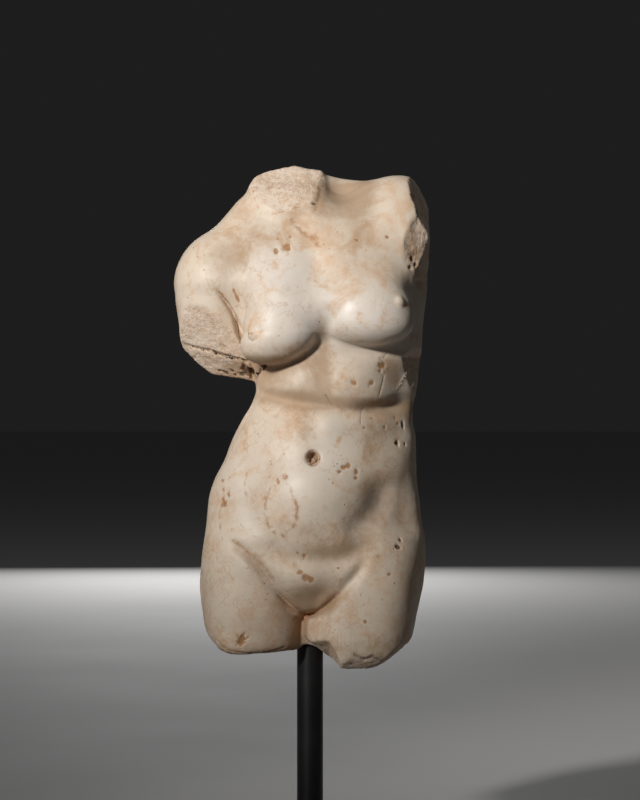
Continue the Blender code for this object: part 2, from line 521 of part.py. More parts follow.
def bar(name, radius, low, high, chamfer, finish):
    """A round bar on the upright axis with both ends chamfered."""
    rings = ((radius - chamfer, low), (radius, low + chamfer),
             (radius, high - chamfer), (radius - chamfer, high))
    n = ROUND_SIDES
    turn = np.linspace(0.0, 2.0 * math.pi, n, endpoint=False)
    points = [(r * math.cos(t), r * math.sin(t), z) for r, z in rings for t in turn]
    faces = [tuple(range(n - 1, -1, -1)), tuple(range((len(rings) - 1) * n, len(rings) * n))]
    for k in range(len(rings) - 1):
        for i in range(n):
            j = (i + 1) % n
            faces.append((k * n + i, k * n + j, (k + 1) * n + j, (k + 1) * n + i))
    return solid(name, points, faces, finish)


def make_torso(finish):
    values = sample(torso, BOX_LOW, BOX_HIGH, GRID, COARSE)
    fill_pinches(values, GRID)
    points, faces = skin(values, BOX_LOW, GRID)
    points = settle(torso, points, SETTLE_ROUNDS, SETTLE_MOST * GRID)
    piece = solid("marble_torso", points, faces, finish)
    thin = piece.modifiers.new("faceting", "DECIMATE")
    thin.decimate_type = "COLLAPSE"
    thin.ratio = SKIN_TRIANGLES / (2.0 * len(faces))
    drill = bar("socket_cutter", POST_RADIUS + GAP, SOCKET_START, SOCKET_TOP, SOCKET_CHAMFER, None)
    drill.hide_render = True
    drill.display_type = "WIRE"
    hole = piece.modifiers.new("socket", "BOOLEAN")
    hole.operation = "DIFFERENCE"
    hole.solver = "EXACT"
    hole.object = drill
    return piece


def make_post(finish):
    return bar("support_post", POST_RADIUS, PLATE_THICK + GAP, POST_TOP, POST_CHAMFER, finish)


def make_plate(finish):
    half = PLATE_SIDE / 2.0
    corners = ((-half, -half), (half, -half), (half, half), (-half, half))
    points = [(x, y, z) for z in (0.0, PLATE_THICK) for x, y in corners]
    faces = [(3, 2, 1, 0), (4, 5, 6, 7)]
    faces += [(i, (i + 1) % 4, (i + 1) % 4 + 4, i + 4) for i in range(4)]
    piece = solid("base_plate", points, faces, finish, smooth=False)
    edge = piece.modifiers.new("chamfer", "BEVEL")
    edge.width = PLATE_CHAMFER * MM
    edge.segments = 2
    return piece


def main():
    for old in list(bpy.data.objects):
        bpy.data.objects.remove(old)
    marble = material("marble", (0.72, 0.63, 0.52), 0.45)
    post_black = material("post_black", (0.012, 0.012, 0.013), 0.4)
    plate_black = material("plate_black", (0.014, 0.014, 0.015), 0.45)
    make_torso(marble)
    make_post(post_black)
    make_plate(plate_black)


main()
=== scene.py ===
"""A marble torso of a standing woman, carried by a round black post on a square plate.

The shapes below are worked out in millimetres and turned into metres when a mesh is made.
The figure faces -Y; "right" and "left" are the figure's own, so the stump of its right
arm lies towards -X.  The stone is one field of distances, negative inside the marble:
limbs and swells are joined softly, furrows are carved in, and every break is a rough
plane that cuts its own limb or fades out.
"""
import logging
import math
from dataclasses import dataclass
from enum import Enum
from typing import Any, Callable, Iterable, Sequence, Union

import bpy
import numpy as np
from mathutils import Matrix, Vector


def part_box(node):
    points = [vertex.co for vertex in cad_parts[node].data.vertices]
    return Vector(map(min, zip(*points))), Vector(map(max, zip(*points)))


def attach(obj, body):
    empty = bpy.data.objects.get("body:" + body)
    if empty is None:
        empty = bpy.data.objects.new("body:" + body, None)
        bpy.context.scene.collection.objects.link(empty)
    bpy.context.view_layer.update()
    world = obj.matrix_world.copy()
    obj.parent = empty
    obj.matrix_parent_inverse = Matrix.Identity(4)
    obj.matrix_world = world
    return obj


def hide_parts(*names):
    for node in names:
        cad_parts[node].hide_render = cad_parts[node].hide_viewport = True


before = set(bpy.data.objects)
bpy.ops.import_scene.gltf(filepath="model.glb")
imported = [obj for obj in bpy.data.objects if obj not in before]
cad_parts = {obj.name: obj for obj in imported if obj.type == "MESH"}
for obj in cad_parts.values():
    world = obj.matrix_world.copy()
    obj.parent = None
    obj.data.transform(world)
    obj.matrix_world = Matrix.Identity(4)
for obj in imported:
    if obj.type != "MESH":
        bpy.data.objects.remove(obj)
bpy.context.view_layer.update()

LOG = logging.getLogger("torso")
MM = 0.001
MARKS = ("broken", "nook", "hollow", "earth", "root", "stain_and_shade", "clean")
TINY = 1e-6         # keeps powers and shares away from nought
FAR = 1e3           # the distance given to what lies far from the skin
CUBE = np.array([(i, j, k) for i in (0, 1) for j in (0, 1) for k in (0, 1)])
PRIMES = (73856093, 19349663, 83492791)         # one for each direction of a lattice
SEED_PRIME = 2654435761
STIRS = ((15, 2246822519), (13, 3266489917))    # shift down, then multiply
WORD = 0xFFFFFFFF                               # the largest whole number of 32 bits
Array = np.ndarray
Point = tuple[float, float, float]
Spot = tuple[float, float]
Path = tuple[Spot, ...]
Faces = Union[Array, Sequence[Sequence[int]]]
Field = Callable[[Array], Array]
Noise = tuple[float, ...]
Grade = tuple[float, ...]


def extent(node: str) -> tuple[Point, Point]:
    """Where a solid of the frame begins and ends, in millimetres.

    Args:
        node: the solid's name.

    Returns:
        Its lowest and highest corners, to a thousandth.
    """
    low, high = (tuple(round(v / MM, 3) for v in corner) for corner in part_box(node))
    return low, high


# ---- sums on distances ---------------------------------------------------------------
def ramp(x: Array, low: float, high: float) -> Array:
    """An S curve: 0 below low, 1 above high, 3t^2 - 2t^3 between (low may be the larger).

    Args:
        x: the values to grade.
        low: where the curve leaves 0.
        high: where the curve reaches 1.

    Returns:
        The grade of each value, from 0 to 1.
    """
    t = np.clip((x - low) / (high - low), 0.0, 1.0)
    return t * t * (3.0 - 2.0 * t)


def blend(ends: Spot, share: Array) -> Array:
    """From the first of two numbers to the second: first + (second - first) share."""
    return ends[0] + (ends[1] - ends[0]) * share


def join(a: Array, b: Array, soft: Union[float, Array]) -> Array:
    """Both shapes: the smaller distance, less a parabola where the two come near.

    Args:
        a: distances to the first shape.
        b: distances to the second shape.
        soft: how wide the rounded valley between them is.

    Returns:
        Distances to the joined shape.
    """
    h = np.clip(0.5 + 0.5 * (b - a) / soft, 0.0, 1.0)
    return b + (a - b) * h - soft * h * (1.0 - h)


def cut(a: Array, b: Array, soft: Union[float, Array]) -> Array:
    """What two shapes share: the larger distance, with the edge between them eased.

    Args:
        a: distances to the first shape.
        b: distances to the second shape.
        soft: how wide the eased edge is.

    Returns:
        Distances to the shared shape.
    """
    return -join(-a, -b, soft)


class Curve:
    """A smooth cubic through given values that never overshoots a high or low one."""

    def __init__(self, at: Sequence[float], values: Sequence[float]) -> None:
        """Finds the slope at each value: the weighted harmonic mean of its two sides.

        Args:
            at: where the values stand, rising.
            values: the values themselves.
        """
        self.at = np.asarray(at, float)
        self.values = np.asarray(values, float)
        self.gaps = np.diff(self.at)
        rise = np.diff(self.values) / self.gaps
        before, after = rise[:-1], rise[1:]
        w1 = 2.0 * self.gaps[1:] + self.gaps[:-1]
        w2 = self.gaps[1:] + 2.0 * self.gaps[:-1]
        same = before * after > 0.0
        mean = (w1 + w2) / (w1 / np.where(same, before, 1.0) + w2 / np.where(same, after, 1.0))
        self.slopes = np.concatenate([[rise[0]], np.where(same, mean, 0.0), [rise[-1]]])

    def __call__(self, x: Array) -> Array:
        """Hermite's cubic between the two nearest values, held flat beyond the ends.

        Args:
            x: where the curve is wanted.

        Returns:
            The curve's value at each place.
        """
        x = np.clip(x, self.at[0], self.at[-1])
        i = np.clip(np.searchsorted(self.at, x, side="right") - 1, 0, len(self.gaps) - 1)
        gap = self.gaps[i]
        t = (x - self.at[i]) / gap
        u = 1.0 - t
        ends = (1.0 + 2.0 * t) * u * u * self.values[i] + t * t * (3.0 - 2.0 * t) * self.values[i + 1]
        lean = t * u * u * self.slopes[i] - t * t * u * self.slopes[i + 1]
        return ends + gap * lean


@dataclass(frozen=True)
class Grain:
    """Random relief that is the same on every run: waves of several sizes laid together."""

    waves: Path                 # size and height of each wave
    seed: int = 1
    ridged: float = 0.0         # the share of each wave that is folded into ridges
    shift: float = 17.3         # moves the lattice of each further wave
    next_seed: int = 31

    def corner(self, cell: Array, seed: int) -> Array:
        """A number from -1 to 1 for each corner of a lattice: its whole numbers multiplied
        by large primes, stirred bit by bit within a word, and scaled.

        Args:
            cell: whole lattice places, one row each.
            seed: which of the endless lattices is wanted.

        Returns:
            One number a row.
        """
        x, y, z = (cell[:, k] * prime for k, prime in enumerate(PRIMES))
        h = (x ^ y ^ z ^ (seed * SEED_PRIME)) & WORD
        for shift, factor in STIRS:
            h = ((h ^ (h >> shift)) * factor) & WORD
        return ((h ^ (h >> 16)) / (WORD / 2) - 1.0).astype(np.float32)

    def wave(self, p: Array, seed: int) -> Array:
        """Lattice numbers blended by an S curve along each of the three directions.

        Args:
            p: places, in units of the lattice.
            seed: which lattice is wanted.

        Returns:
            The blended number at each place, from -1 to 1.
        """
        low = np.floor(p)
        part = p - low
        cell = low.astype(np.int64)
        part = part * part * (3.0 - 2.0 * part)
        total = np.zeros(len(p), np.float32)
        for step in CUBE:
            share = np.prod(np.where(step, part, 1.0 - part), axis=1)
            total += share * self.corner(cell + step, seed)
        return total

    def __call__(self, p: Array) -> Array:
        """Adds the waves, each scaled to its own size and height; part of each is folded
        at zero into ridges.

        Args:
            p: places, in millimetres.

        Returns:
            The height of the relief at each place, in millimetres.
        """
        total = np.zeros(len(p), np.float32)
        for k, (size, height) in enumerate(self.waves):
            w = self.wave(p / size + self.shift * k, self.seed + self.next_seed * k)
            total += height * ((1.0 - self.ridged) * w + self.ridged * (1.0 - 2.0 * np.abs(w)))
        return total


# ---- shapes --------------------------------------------------------------------------
@dataclass(frozen=True)
class Egg:
    """An ellipsoid, or a fuller cushion of the same reaches if it is squarer than 2; it
    may reach further above its centre than below, and its lower half may lean to -X."""

    centre: Point
    radii: Point
    square: float = 2.0
    above: float = 0.0          # reach above the centre, where it differs from that below
    lean: float = 0.0

    def distance(self, p: Array) -> Array:
        """(k - 1) divided by k's own slope, where k = (sum |q / r|^n)^(1/n), q is the place
        from the centre, moved by the lean times its depth below it, r the radii and n the
        squareness.

        Args:
            p: places.

        Returns:
            Distances, exact along the axes and close elsewhere.
        """
        n, q = self.square, p - np.array(self.centre, np.float32)
        q[:, 0] += self.lean * np.maximum(-q[:, 2], 0.0)
        low, high = (np.array((*self.radii[:2], tall), np.float32)
                     for tall in (self.radii[2], self.above or self.radii[2]))
        r = np.where(q[:, 2:] > 0.0, high, low)
        q = np.abs(q) / r + TINY
        k = np.sum(q ** n, axis=1) ** (1.0 / n)
        slope = np.linalg.norm(q ** (n - 1.0) / r, axis=1) * k ** (1.0 - n)
        return (k - 1.0) / slope


@dataclass(frozen=True)
class Limb:
    """A round limb with round ends, whose radius changes evenly along it."""

    start: Point
    end: Point
    r_start: float
    r_end: float

    def distance(self, p: Array) -> Array:
        """The distance to the nearest point of the middle line, less the radius there.

        Args:
            p: places.

        Returns:
            Distances to the limb.
        """
        a = np.array(self.start, np.float32)
        span = np.array(self.end, np.float32) - a
        t = np.clip((p - a) @ span / (span @ span), 0.0, 1.0)
        return np.linalg.norm(p - a - t[:, None] * span, axis=1) \
            - (self.r_start + (self.r_end - self.r_start) * t)


@dataclass(frozen=True)
class Trunk:
    """A body drawn through levels, each a rounded oval with four reaches of its own.

    A level is its height, centre across, centre deep, reach to the right, to the left,
    to the front, to the back, and how square the oval is.
    """

    levels: tuple[tuple[float, ...], ...]
    soft_low: float             # how wide the lower end is eased
    soft_high: float
    least_share: float = 1e-3   # keep the sums steady near the middle line
    least_slope: float = 1e-4

    def distance(self, p: Array) -> Array:
        """(u^n + v^n)^(1/n) - 1 divided by its own slope, where u and v are the places
        across and deep as shares of the reaches, and n is the squareness at that height.

        Args:
            p: places.

        Returns:
            Distances to the body, cut level at its two ends.
        """
        table = np.array(self.levels)
        z = p[:, 2]
        across, deep, right, left, front, back, n = (
            Curve(table[:, 0], table[:, i])(z).astype(np.float32) for i in range(1, 8))
        x, y = p[:, 0] - across, p[:, 1] - deep
        a, b = np.where(x < 0, right, left), np.where(y < 0, front, back)
        u, v = np.abs(x) / a + TINY, np.abs(y) / b + TINY
        q = np.maximum((u ** n + v ** n) ** (1.0 / n), self.least_share)
        slope = np.hypot(u ** (n - 1.0) / a, v ** (n - 1.0) / b) * q ** (1.0 - n)
        d = (q - 1.0) / np.maximum(slope, self.least_slope)
        return cut(cut(d, z - table[-1, 0], self.soft_high), table[0, 0] - z, self.soft_low)


@dataclass(frozen=True)
class Fade:
    """How a break runs out: its plane stands further out the further a place lies past
    a limit along one axis, upwards (+1), downwards (-1) or both ways (0)."""

    slope: float
    axis: int
    way: int
    limit: float
    half: float = 0.0

    def reach(self, p: Array) -> Array:
        """slope max(0, how far past the limit, less the half width).

        Args:
            p: places.

        Returns:
            How much further out the plane stands at each place.
        """
        past = p[:, self.axis] - self.limit
        past = self.way * past if self.way else np.abs(past) - self.half
        return self.slope * np.maximum(past, 0.0)


@dataclass(frozen=True)
class Break:
    """A rough broken face through a point, looking one way; it may fade."""

    point: Point
    facing: Point
    ease: float = 1.2
    fade: Union[Fade, None] = None
    grain: Grain = Grain(((19.0, 1.2), (7.0, 0.5), (3.0, 0.24), (1.6, 0.18)), 5, 0.35)
    near: float = 5.0           # how near the plane and the skin the grain is worked out

    def cut_from(self, d: Array, p: Array) -> Array:
        """Cuts a shape along the plane, (p - point) . facing = 0, moved out and in by the
        grain, and out where the break fades.

        Args:
            d: distances to the shape.
            p: places.

        Returns:
            Distances to what is left.
        """
        n = np.array(self.facing, np.float32)
        past = (p - np.array(self.point, np.float32)) @ (n / np.linalg.norm(n))
        if self.fade:
            past = past - self.fade.reach(p)
        near = (np.abs(past) < self.near) & (d < self.near)
        past[near] -= self.grain(p[near])
        return cut(d, past, self.ease)


# ---- carving -------------------------------------------------------------------------
class Side(Enum):
    """Which face of the trunk a carving lies on, as where it fades in along Y."""

    FRONT = (-4.0, -22.0)
    BACK = (8.0, 24.0)

    def share(self, p: Array) -> Array:
        """1 on this side of the trunk, 0 on the other, an S curve over the flank."""
        return ramp(p[:, 1], *self.value)


def turned(x: Array, z: Array, turn: float) -> tuple[Array, Array]:
    """Places as read on axes turned by so many degrees: (x cos + z sin, z cos - x sin)."""
    c, s = math.cos(math.radians(turn)), math.sin(math.radians(turn))
    return x * c + z * s, z * c - x * s


@dataclass(frozen=True)
class Swell:
    """A soft rise (or hollow) seen from the front: a Gaussian hill that may be turned."""

    height: float
    across: float
    up: float
    wide: float
    tall: float
    turn: float = 0.0

    def level(self, p: Array) -> Array:
        """height exp(-(u / wide)^2 - (v / tall)^2), u and v turned about the middle.

        Args:
            p: places.

        Returns:
            The height of the swell over each place.
        """
        u, v = turned(p[:, 0] - self.across, p[:, 2] - self.up, self.turn)
        return self.height * np.exp(-(u / self.wide) ** 2 - (v / self.tall) ** 2)


def resample(path: Path, gap: float, fewest: int = 4) -> Array:
    """Even points along a smooth line: each coordinate is a Curve over the length run.

    Args:
        path: the corners the line passes.
        gap: how far apart the new points stand.
        fewest: how many points a short line still has.

    Returns:
        The points, one a row.
    """
    pts = np.array(path, float)
    run = np.concatenate([[0.0], np.cumsum(np.linalg.norm(np.diff(pts, axis=0), axis=1))])
    steps = np.linspace(0.0, run[-1], max(fewest, int(run[-1] / gap) + 1))
    return np.stack([Curve(run, pts[:, i])(steps) for i in range(pts.shape[1])], 1)


def beside(q: Array, line: Array, strength: Array, width: float, widths: float = 3.0) -> Array:
    """strength exp(-(d / width)^2), d being the distance to the nearest piece of a line.

    Args:
        q: places, in as many directions as the line has.
        line: the points of the line.
        strength: how strong the line is at each of its points.
        width: the width over which it falls off.
        widths: how many widths away it ends.

    Returns:
        The line's strength at each place.
    """
    out = np.zeros(len(q), np.float32)
    reach = widths * width
    inside = np.all((q > line.min(0) - reach) & (q < line.max(0) + reach), axis=1)
    q = q[inside]
    near, level = np.full(len(q), FAR, np.float32), np.zeros(len(q), np.float32)
    line = line.astype(np.float32)
    for a, b, sa, sb in zip(line[:-1], line[1:], strength[:-1], strength[1:]):
        span = b - a
        t = np.clip((q - a) @ span / max(float(span @ span), TINY), 0.0, 1.0)
        d = np.linalg.norm(q - a - t[:, None] * span, axis=1)
        closer = d < near
        level[closer] = (sa + (sb - sa) * t)[closer]
        near[closer] = d[closer]
    out[inside] = level * np.exp(-(near / width) ** 2)
    return out


@dataclass(frozen=True)
class Furrow:
    """A soft groove along a path seen from the front or the back, as (across, up)."""

    depth: float
    width: float
    path: Path
    fades: bool = True
    gap: float = 5.0            # between the points the path is drawn through
    fade: float = 0.25          # the share of the path over which each end fades

    def level(self, p: Array) -> Array:
        """depth times the path's strength, which may fade over a share of it at each end.

        Args:
            p: places.

        Returns:
            How deep the groove is under each place.
        """
        line = resample(self.path, self.gap)
        share = np.linspace(0.0, 1.0, len(line))
        end = np.minimum(share, 1.0 - share)
        strength = ramp(end, 0.0, self.fade) if self.fades else np.ones(len(line))
        return self.depth * beside(p[:, (0, 2)], line, strength, self.width)


@dataclass(frozen=True)
class Carving:
    """All the swells and furrows of one side."""

    side: Side
    swells: tuple[Swell, ...]
    furrows: tuple[Furrow, ...]

    def level(self, p: Array) -> Array:
        """The sum of the swells less the sum of the furrows, faded off this side.

        Args:
            p: places.

        Returns:
            How far the carving stands out of the plain trunk.
        """
        share = self.side.share(p)
        on = share > 0.0
        q = p[on]
        h = sum((s.level(q) for s in self.swells), np.zeros(len(q), np.float32))
        h = h - sum(f.level(q) for f in self.furrows)
        out = np.zeros(len(p), np.float32)
        out[on] = h * share[on]
        return out


class Tone(Enum):
    """What a small mark holds: earth, which also serves as painted shade in creases and beside edges;
    a root's trace; or nothing.
    """

    EARTH_AND_SHADE = "earth"
    ROOT = "root"
    CLEAN = "clean"


@dataclass(frozen=True)
class Dot:
    """A small pit (height below 0) or knob (above 0) on the front, its outline ragged."""

    across: float
    up: float
    radius: float
    height: float
    tone: Tone = Tone.EARTH_AND_SHADE
    stretch: float = 1.0
    turn: float = 0.0
    ragged: float = 0.35
    radii: float = 2.2          # how many radii away it ends

    def level(self, p: Array, deep: float) -> Array:
        """exp(-(r / radius)^3), r being the distance from the middle of the mark, longer
        along its turned axis and made uneven by a grain.

        Args:
            p: places.
            deep: where the mark's middle lies along Y.

        Returns:
            1 in the middle of the mark, 0 outside it.
        """
        out = np.zeros(len(p), np.float32)
        middle = np.array((self.across, deep, self.up), np.float32)
        reach = self.radii * self.radius * max(self.stretch, 1.0)
        near = np.all(np.abs(p - middle) < reach, axis=1)
        q = p[near] - middle
        u, v = turned(q[:, 0], q[:, 2], self.turn)
        r = np.sqrt(u * u + (v / self.stretch) ** 2 + q[:, 1] ** 2)
        if self.ragged:
            uneven = Grain(((1.4 * self.radius, 1.0), (0.6 * self.radius, 0.5)), 3)
            r = r * (1.0 + self.ragged * uneven(p[near]))
        out[near] = np.exp(-np.maximum(r / self.radius, 0.0) ** 3)
        return out


@dataclass(frozen=True)
class Line:
    """A thin crack, stain or line of painted shade along a path on the front, as (across, up)."""

    width: float
    depth: float
    path: Path
    tone: Tone = Tone.EARTH_AND_SHADE
    strength: float = 1.0

    def level(self, p: Array, trace: Array) -> Array:
        """exp(-(d / width)^2), d being the distance to the path's trace on the stone."""
        return beside(p, trace, np.ones(len(trace)), self.width)


# ---- from distances to a skin --------------------------------------------------------
@dataclass(frozen=True)
class Mesher:
    """Draws a closed skin of four-sided faces through the zero of a field."""

    low: Point                  # the corners of the block that is searched
    high: Point
    step: float = 3.2
    coarse: int = 4             # steps to one coarse step
    splits: int = 2
    chunk: int = 150_000
    near_steps: float = 2.6     # coarse steps from the skin within which all is sampled
    rounds: int = 2             # moves after each split
    most: float = 0.6           # the longest first move, in steps
    fill: float = 0.02          # how deep a filled corner lies, in steps
    fill_rounds: int = 12

    def ask(self, field_at: Field, p: Array) -> Array:
        """The field at many places, a chunk at a time."""
        p = np.asarray(p, np.float32)
        return np.concatenate([field_at(p[i:i + self.chunk]) for i in range(0, len(p), self.chunk)])

    def sample(self, field_at: Field) -> Array:
        """Values on a grid: everywhere on a coarse one, then fully only near the skin.

        Args:
            field_at: the field of distances.

        Returns:
            The values, as a block of three directions.
        """
        low, high = np.array(self.low), np.array(self.high)
        count = np.ceil((high - low) / (self.step * self.coarse)).astype(int) * self.coarse + 1
        axes = [(low[i] + self.step * np.arange(count[i]))[::self.coarse] for i in range(3)]
        rough = self.ask(field_at, np.stack(np.meshgrid(*axes, indexing="ij"), -1).reshape(-1, 3))
        rough = rough.reshape([len(a) for a in axes])
        near = np.abs(rough) < self.near_steps * self.step * self.coarse
        for axis in range(3):
            near = near | np.roll(near, 1, axis) | np.roll(near, -1, axis)
        block = np.ones((self.coarse,) * 3)
        trim = tuple(slice(0, n) for n in count)
        values = np.kron(np.where(rough > 0, FAR, -FAR), block)[trim]
        full = np.kron(near, block)[trim] > 0.5
        values[full] = self.ask(field_at, low + self.step * np.argwhere(full))
        return values

    def fill_pinches(self, values: Array) -> None:
        """Fills grid corners where stone would meet stone only along an edge or a point.

        Args:
            values: the block of values, changed in place.
        """
        filled = -self.fill * self.step
        for _ in range(self.fill_rounds):
            inside = values < 0
            found = False
            for u, v in ((0, 1), (0, 2), (1, 2)):
                near, far = [slice(None)] * 3, [slice(None)] * 3
                near[u] = near[v] = slice(0, -1)
                far[u] = far[v] = slice(1, None)
                side, top = list(near), list(near)
                side[u] = top[v] = slice(1, None)
                four = [tuple(k) for k in (near, far, side, top)]
                a, b, c, d = (inside[k] for k in four)
                pinched = (a == b) & (c == d) & (a != c)
                if pinched.any():
                    found = True
                    for k in four:
                        view = values[k]
                        view[pinched] = np.minimum(view[pinched], filled)
            if not found:
                return

    def net(self, values: Array) -> tuple[Array, Array]:
        """One point in each cell the skin passes, the mean of its edge crossings, and a
        face of four such points round each grid edge that is crossed.

        Args:
            values: the block of values.

        Returns:
            The points and the faces.
        """
        inside = values < 0
        cells = tuple(n - 1 for n in values.shape)
        total = sum(inside[tuple(slice(o[k], cells[k] + o[k]) for k in range(3))].astype(int)
                    for o in CUBE)
        mixed = (total > 0) & (total < 8)
        where = np.argwhere(mixed)
        number = np.full(cells, -1)
        number[mixed] = np.arange(len(where))
        sums, hits = np.zeros((len(where), 3)), np.zeros(len(where))
        for start in CUBE:
            for axis in np.flatnonzero(start == 0):
                end = start + np.eye(3, dtype=int)[axis]
                va, vb = values[tuple((where + start).T)], values[tuple((where + end).T)]
                crossed = (va < 0) != (vb < 0)
                t = np.where(crossed, va / np.where(crossed, va - vb, 1.0), 0.0)
                sums += crossed[:, None] * (start + t[:, None] * (end - start))
                hits += crossed
        faces = []
        for axis in range(3):
            u, v = (axis + 1) % 3, (axis + 2) % 3
            edge = np.argwhere(np.diff(inside.astype(int), axis=axis) != 0)
            ring = []
            for du, dv in ((1, 1), (0, 1), (0, 0), (1, 0)):
                shifted = edge.copy()
                shifted[:, u] -= du
                shifted[:, v] -= dv
                ring.append(number[tuple(shifted.T)])
            quads = np.stack(ring, 1)
            starts_out = ~inside[tuple(edge.T)]
            quads[starts_out] = quads[starts_out][:, ::-1]
            faces.append(quads)
        points = np.array(self.low) + self.step * (where + sums / hits[:, None])
        return points, np.concatenate(faces)

    def normals(self, points: Array, quads: Array) -> Array:
        """The sum of the cross products of the diagonals of the faces round each point.

        Args:
            points: the points.
            quads: the faces, four points each.

        Returns:
            One unit direction a point, outwards.
        """
        a, b, c, d = (points[quads[:, k]] for k in range(4))
        across = np.cross(c - a, d - b)
        total = np.stack([sum(np.bincount(quads[:, k], across[:, i], len(points)) for k in range(4))
                          for i in range(3)], 1)
        return total / np.maximum(np.linalg.norm(total, axis=1), TINY)[:, None]

    def split(self, points: Array, quads: Array) -> tuple[Array, Array]:
        """Each face becomes four: new points are the middles of its edges and of itself.

        Args:
            points: the points.
            quads: the faces.

        Returns:
            The new points and faces.
        """
        ends = np.stack([quads, np.roll(quads, -1, axis=1)], 2).reshape(-1, 2)
        ends.sort(axis=1)
        keys, edge = np.unique(ends[:, 0] * len(points) + ends[:, 1], return_inverse=True)
        middles = 0.5 * (points[keys // len(points)] + points[keys % len(points)])
        edge = edge.reshape(-1, 4) + len(points)
        centre = np.arange(len(quads)) + len(points) + len(keys)
        new = [np.stack([quads[:, k], edge[:, k], centre, edge[:, k - 1]], 1) for k in range(4)]
        points = np.concatenate([points, middles, points[quads].mean(1)])
        return points, np.concatenate(new)

    def settle(self, field_at: Field, points: Array, quads: Array, most: float) -> Array:
        """Moves each point along its own normal by the field's value there, twice or so.

        Args:
            field_at: the field of distances.
            points: the points.
            quads: the faces.
            most: the furthest one move may be.

        Returns:
            The points on the skin.
        """
        for _ in range(self.rounds):
            pull = np.clip(self.ask(field_at, points), -most, most)
            points = points - pull[:, None] * self.normals(points, quads)
        return points

    def build(self, field_at: Field) -> tuple[Array, Array]:
        """Samples, nets, and then splits and settles the skin down to its finest faces.

        Args:
            field_at: the field of distances.

        Returns:
            The points and the faces.
        """
        values = self.sample(field_at)
        self.fill_pinches(values)
        points, quads = self.net(values)
        most = self.most * self.step
        points = self.settle(field_at, points, quads, most)
        for k in range(self.splits):
            points, quads = self.split(points, quads)
            points = self.settle(field_at, points, quads, most / 2 ** k)
        return points, quads


def new_piece(name: str, points: Array, faces: Faces) -> bpy.types.Object:
    """A smooth-shaded object at the origin, from points in millimetres.

    Args:
        name: the name of the piece.
        points: its points.
        faces: its faces, as rows of equal length or as a list of lists.

    Returns:
        The object, linked into the scene.
    """
    mesh = bpy.data.meshes.new(name)
    if isinstance(faces, np.ndarray):
        sizes, corners = np.full(len(faces), faces.shape[1]), faces.reshape(-1)
    else:
        sizes, corners = np.array([len(f) for f in faces]), np.concatenate(faces)
    starts = np.concatenate([[0], np.cumsum(sizes)[:-1]])
    mesh.vertices.add(len(points))
    mesh.vertices.foreach_set("co", (np.asarray(points) * MM).astype(np.float32).reshape(-1))
    mesh.loops.add(len(corners))
    mesh.loops.foreach_set("vertex_index", corners.astype(np.int32))
    mesh.polygons.add(len(sizes))
    mesh.polygons.foreach_set("loop_start", starts.astype(np.int32))
    mesh.polygons.foreach_set("loop_total", sizes.astype(np.int32))
    mesh.update(calc_edges=True)
    mesh.validate()
    mesh.shade_smooth()
    piece = bpy.data.objects.new(name, mesh)
    bpy.context.scene.collection.objects.link(piece)
    return piece


def thin_out(piece: bpy.types.Object, triangles: int) -> None:
    """Collapses the flattest edges until about so many triangles are left.

    Args:
        piece: the piece, whose mesh is replaced.
        triangles: how many triangles are kept.
    """
    now = sum(len(p.vertices) - 2 for p in piece.data.polygons)
    fewer = piece.modifiers.new("thinning", "DECIMATE")
    fewer.ratio = min(1.0, triangles / now)
    shown = piece.evaluated_get(bpy.context.evaluated_depsgraph_get())
    thinned = bpy.data.meshes.new_from_object(shown)
    piece.modifiers.clear()
    old, piece.data = piece.data, thinned
    bpy.data.meshes.remove(old)
    thinned.name = piece.name
    thinned.shade_smooth()


# ---- the figure ----------------------------------------------------------------------
@dataclass(frozen=True)
class Valleys:
    """How wide the rounded valleys are where parts of the figure meet.  Two numbers are
    the widths at the two ends of a stretch, or where that stretch begins and ends."""

    thighs: float = 5.0
    web: float = 6.0
    seats: float = 5.0
    seat: float = 8.0
    thigh_tops: Spot = (10.0, 2.5)      # round the hips, and in front under the groin
    groin_up: Spot = (230.0, 208.0)
    groin_deep: Spot = (-2.0, -14.0)
    slopes: float = 4.0
    shoulder: float = 9.0
    across_slopes: float = 6.0
    collar_bone: float = 7.0
    chest: float = 14.0
    trunk: float = 14.0
    neck: Spot = (4.0, 7.0)
    neck_across: Spot = (0.0, 12.0)
    beside_neck_deep: Spot = (18.0, 2.0)
    breast: Spot = (3.5, 25.5)          # in the fold, and where it runs into the chest
    breast_span: float = 28.0
    breast_up: float = 0.9
    breast_rise: Spot = (-0.05, 0.95)
    inward: Spot = (0.45, -0.30)        # how far that slope leans sideways, right and left
    arm: float = 8.0
    armpit: Spot = (3.0, 16.0)
    armpit_up: Spot = (424.0, 447.0)
    socket: float = 0.6


@dataclass(frozen=True)
class Navel:
    """A drilled hole in a shallow dimple, seen from the front."""

    across: float = 2.4
    up: float = 312.0
    depth: float = 8.0
    radius: float = 4.7
    dimple: float = 1.2
    dimple_radius: float = 8.8

    def level(self, p: Array) -> Array:
        """depth exp(-(r / radius)^4) + dimple exp(-(r / its own radius)^2).

        Args:
            p: places.

        Returns:
            How deep the navel is at each place.
        """
        r = np.hypot(p[:, 0] - self.across, p[:, 2] - self.up)
        return self.depth * np.exp(-(r / self.radius) ** 4) \
            + self.dimple * np.exp(-(r / self.dimple_radius) ** 2)


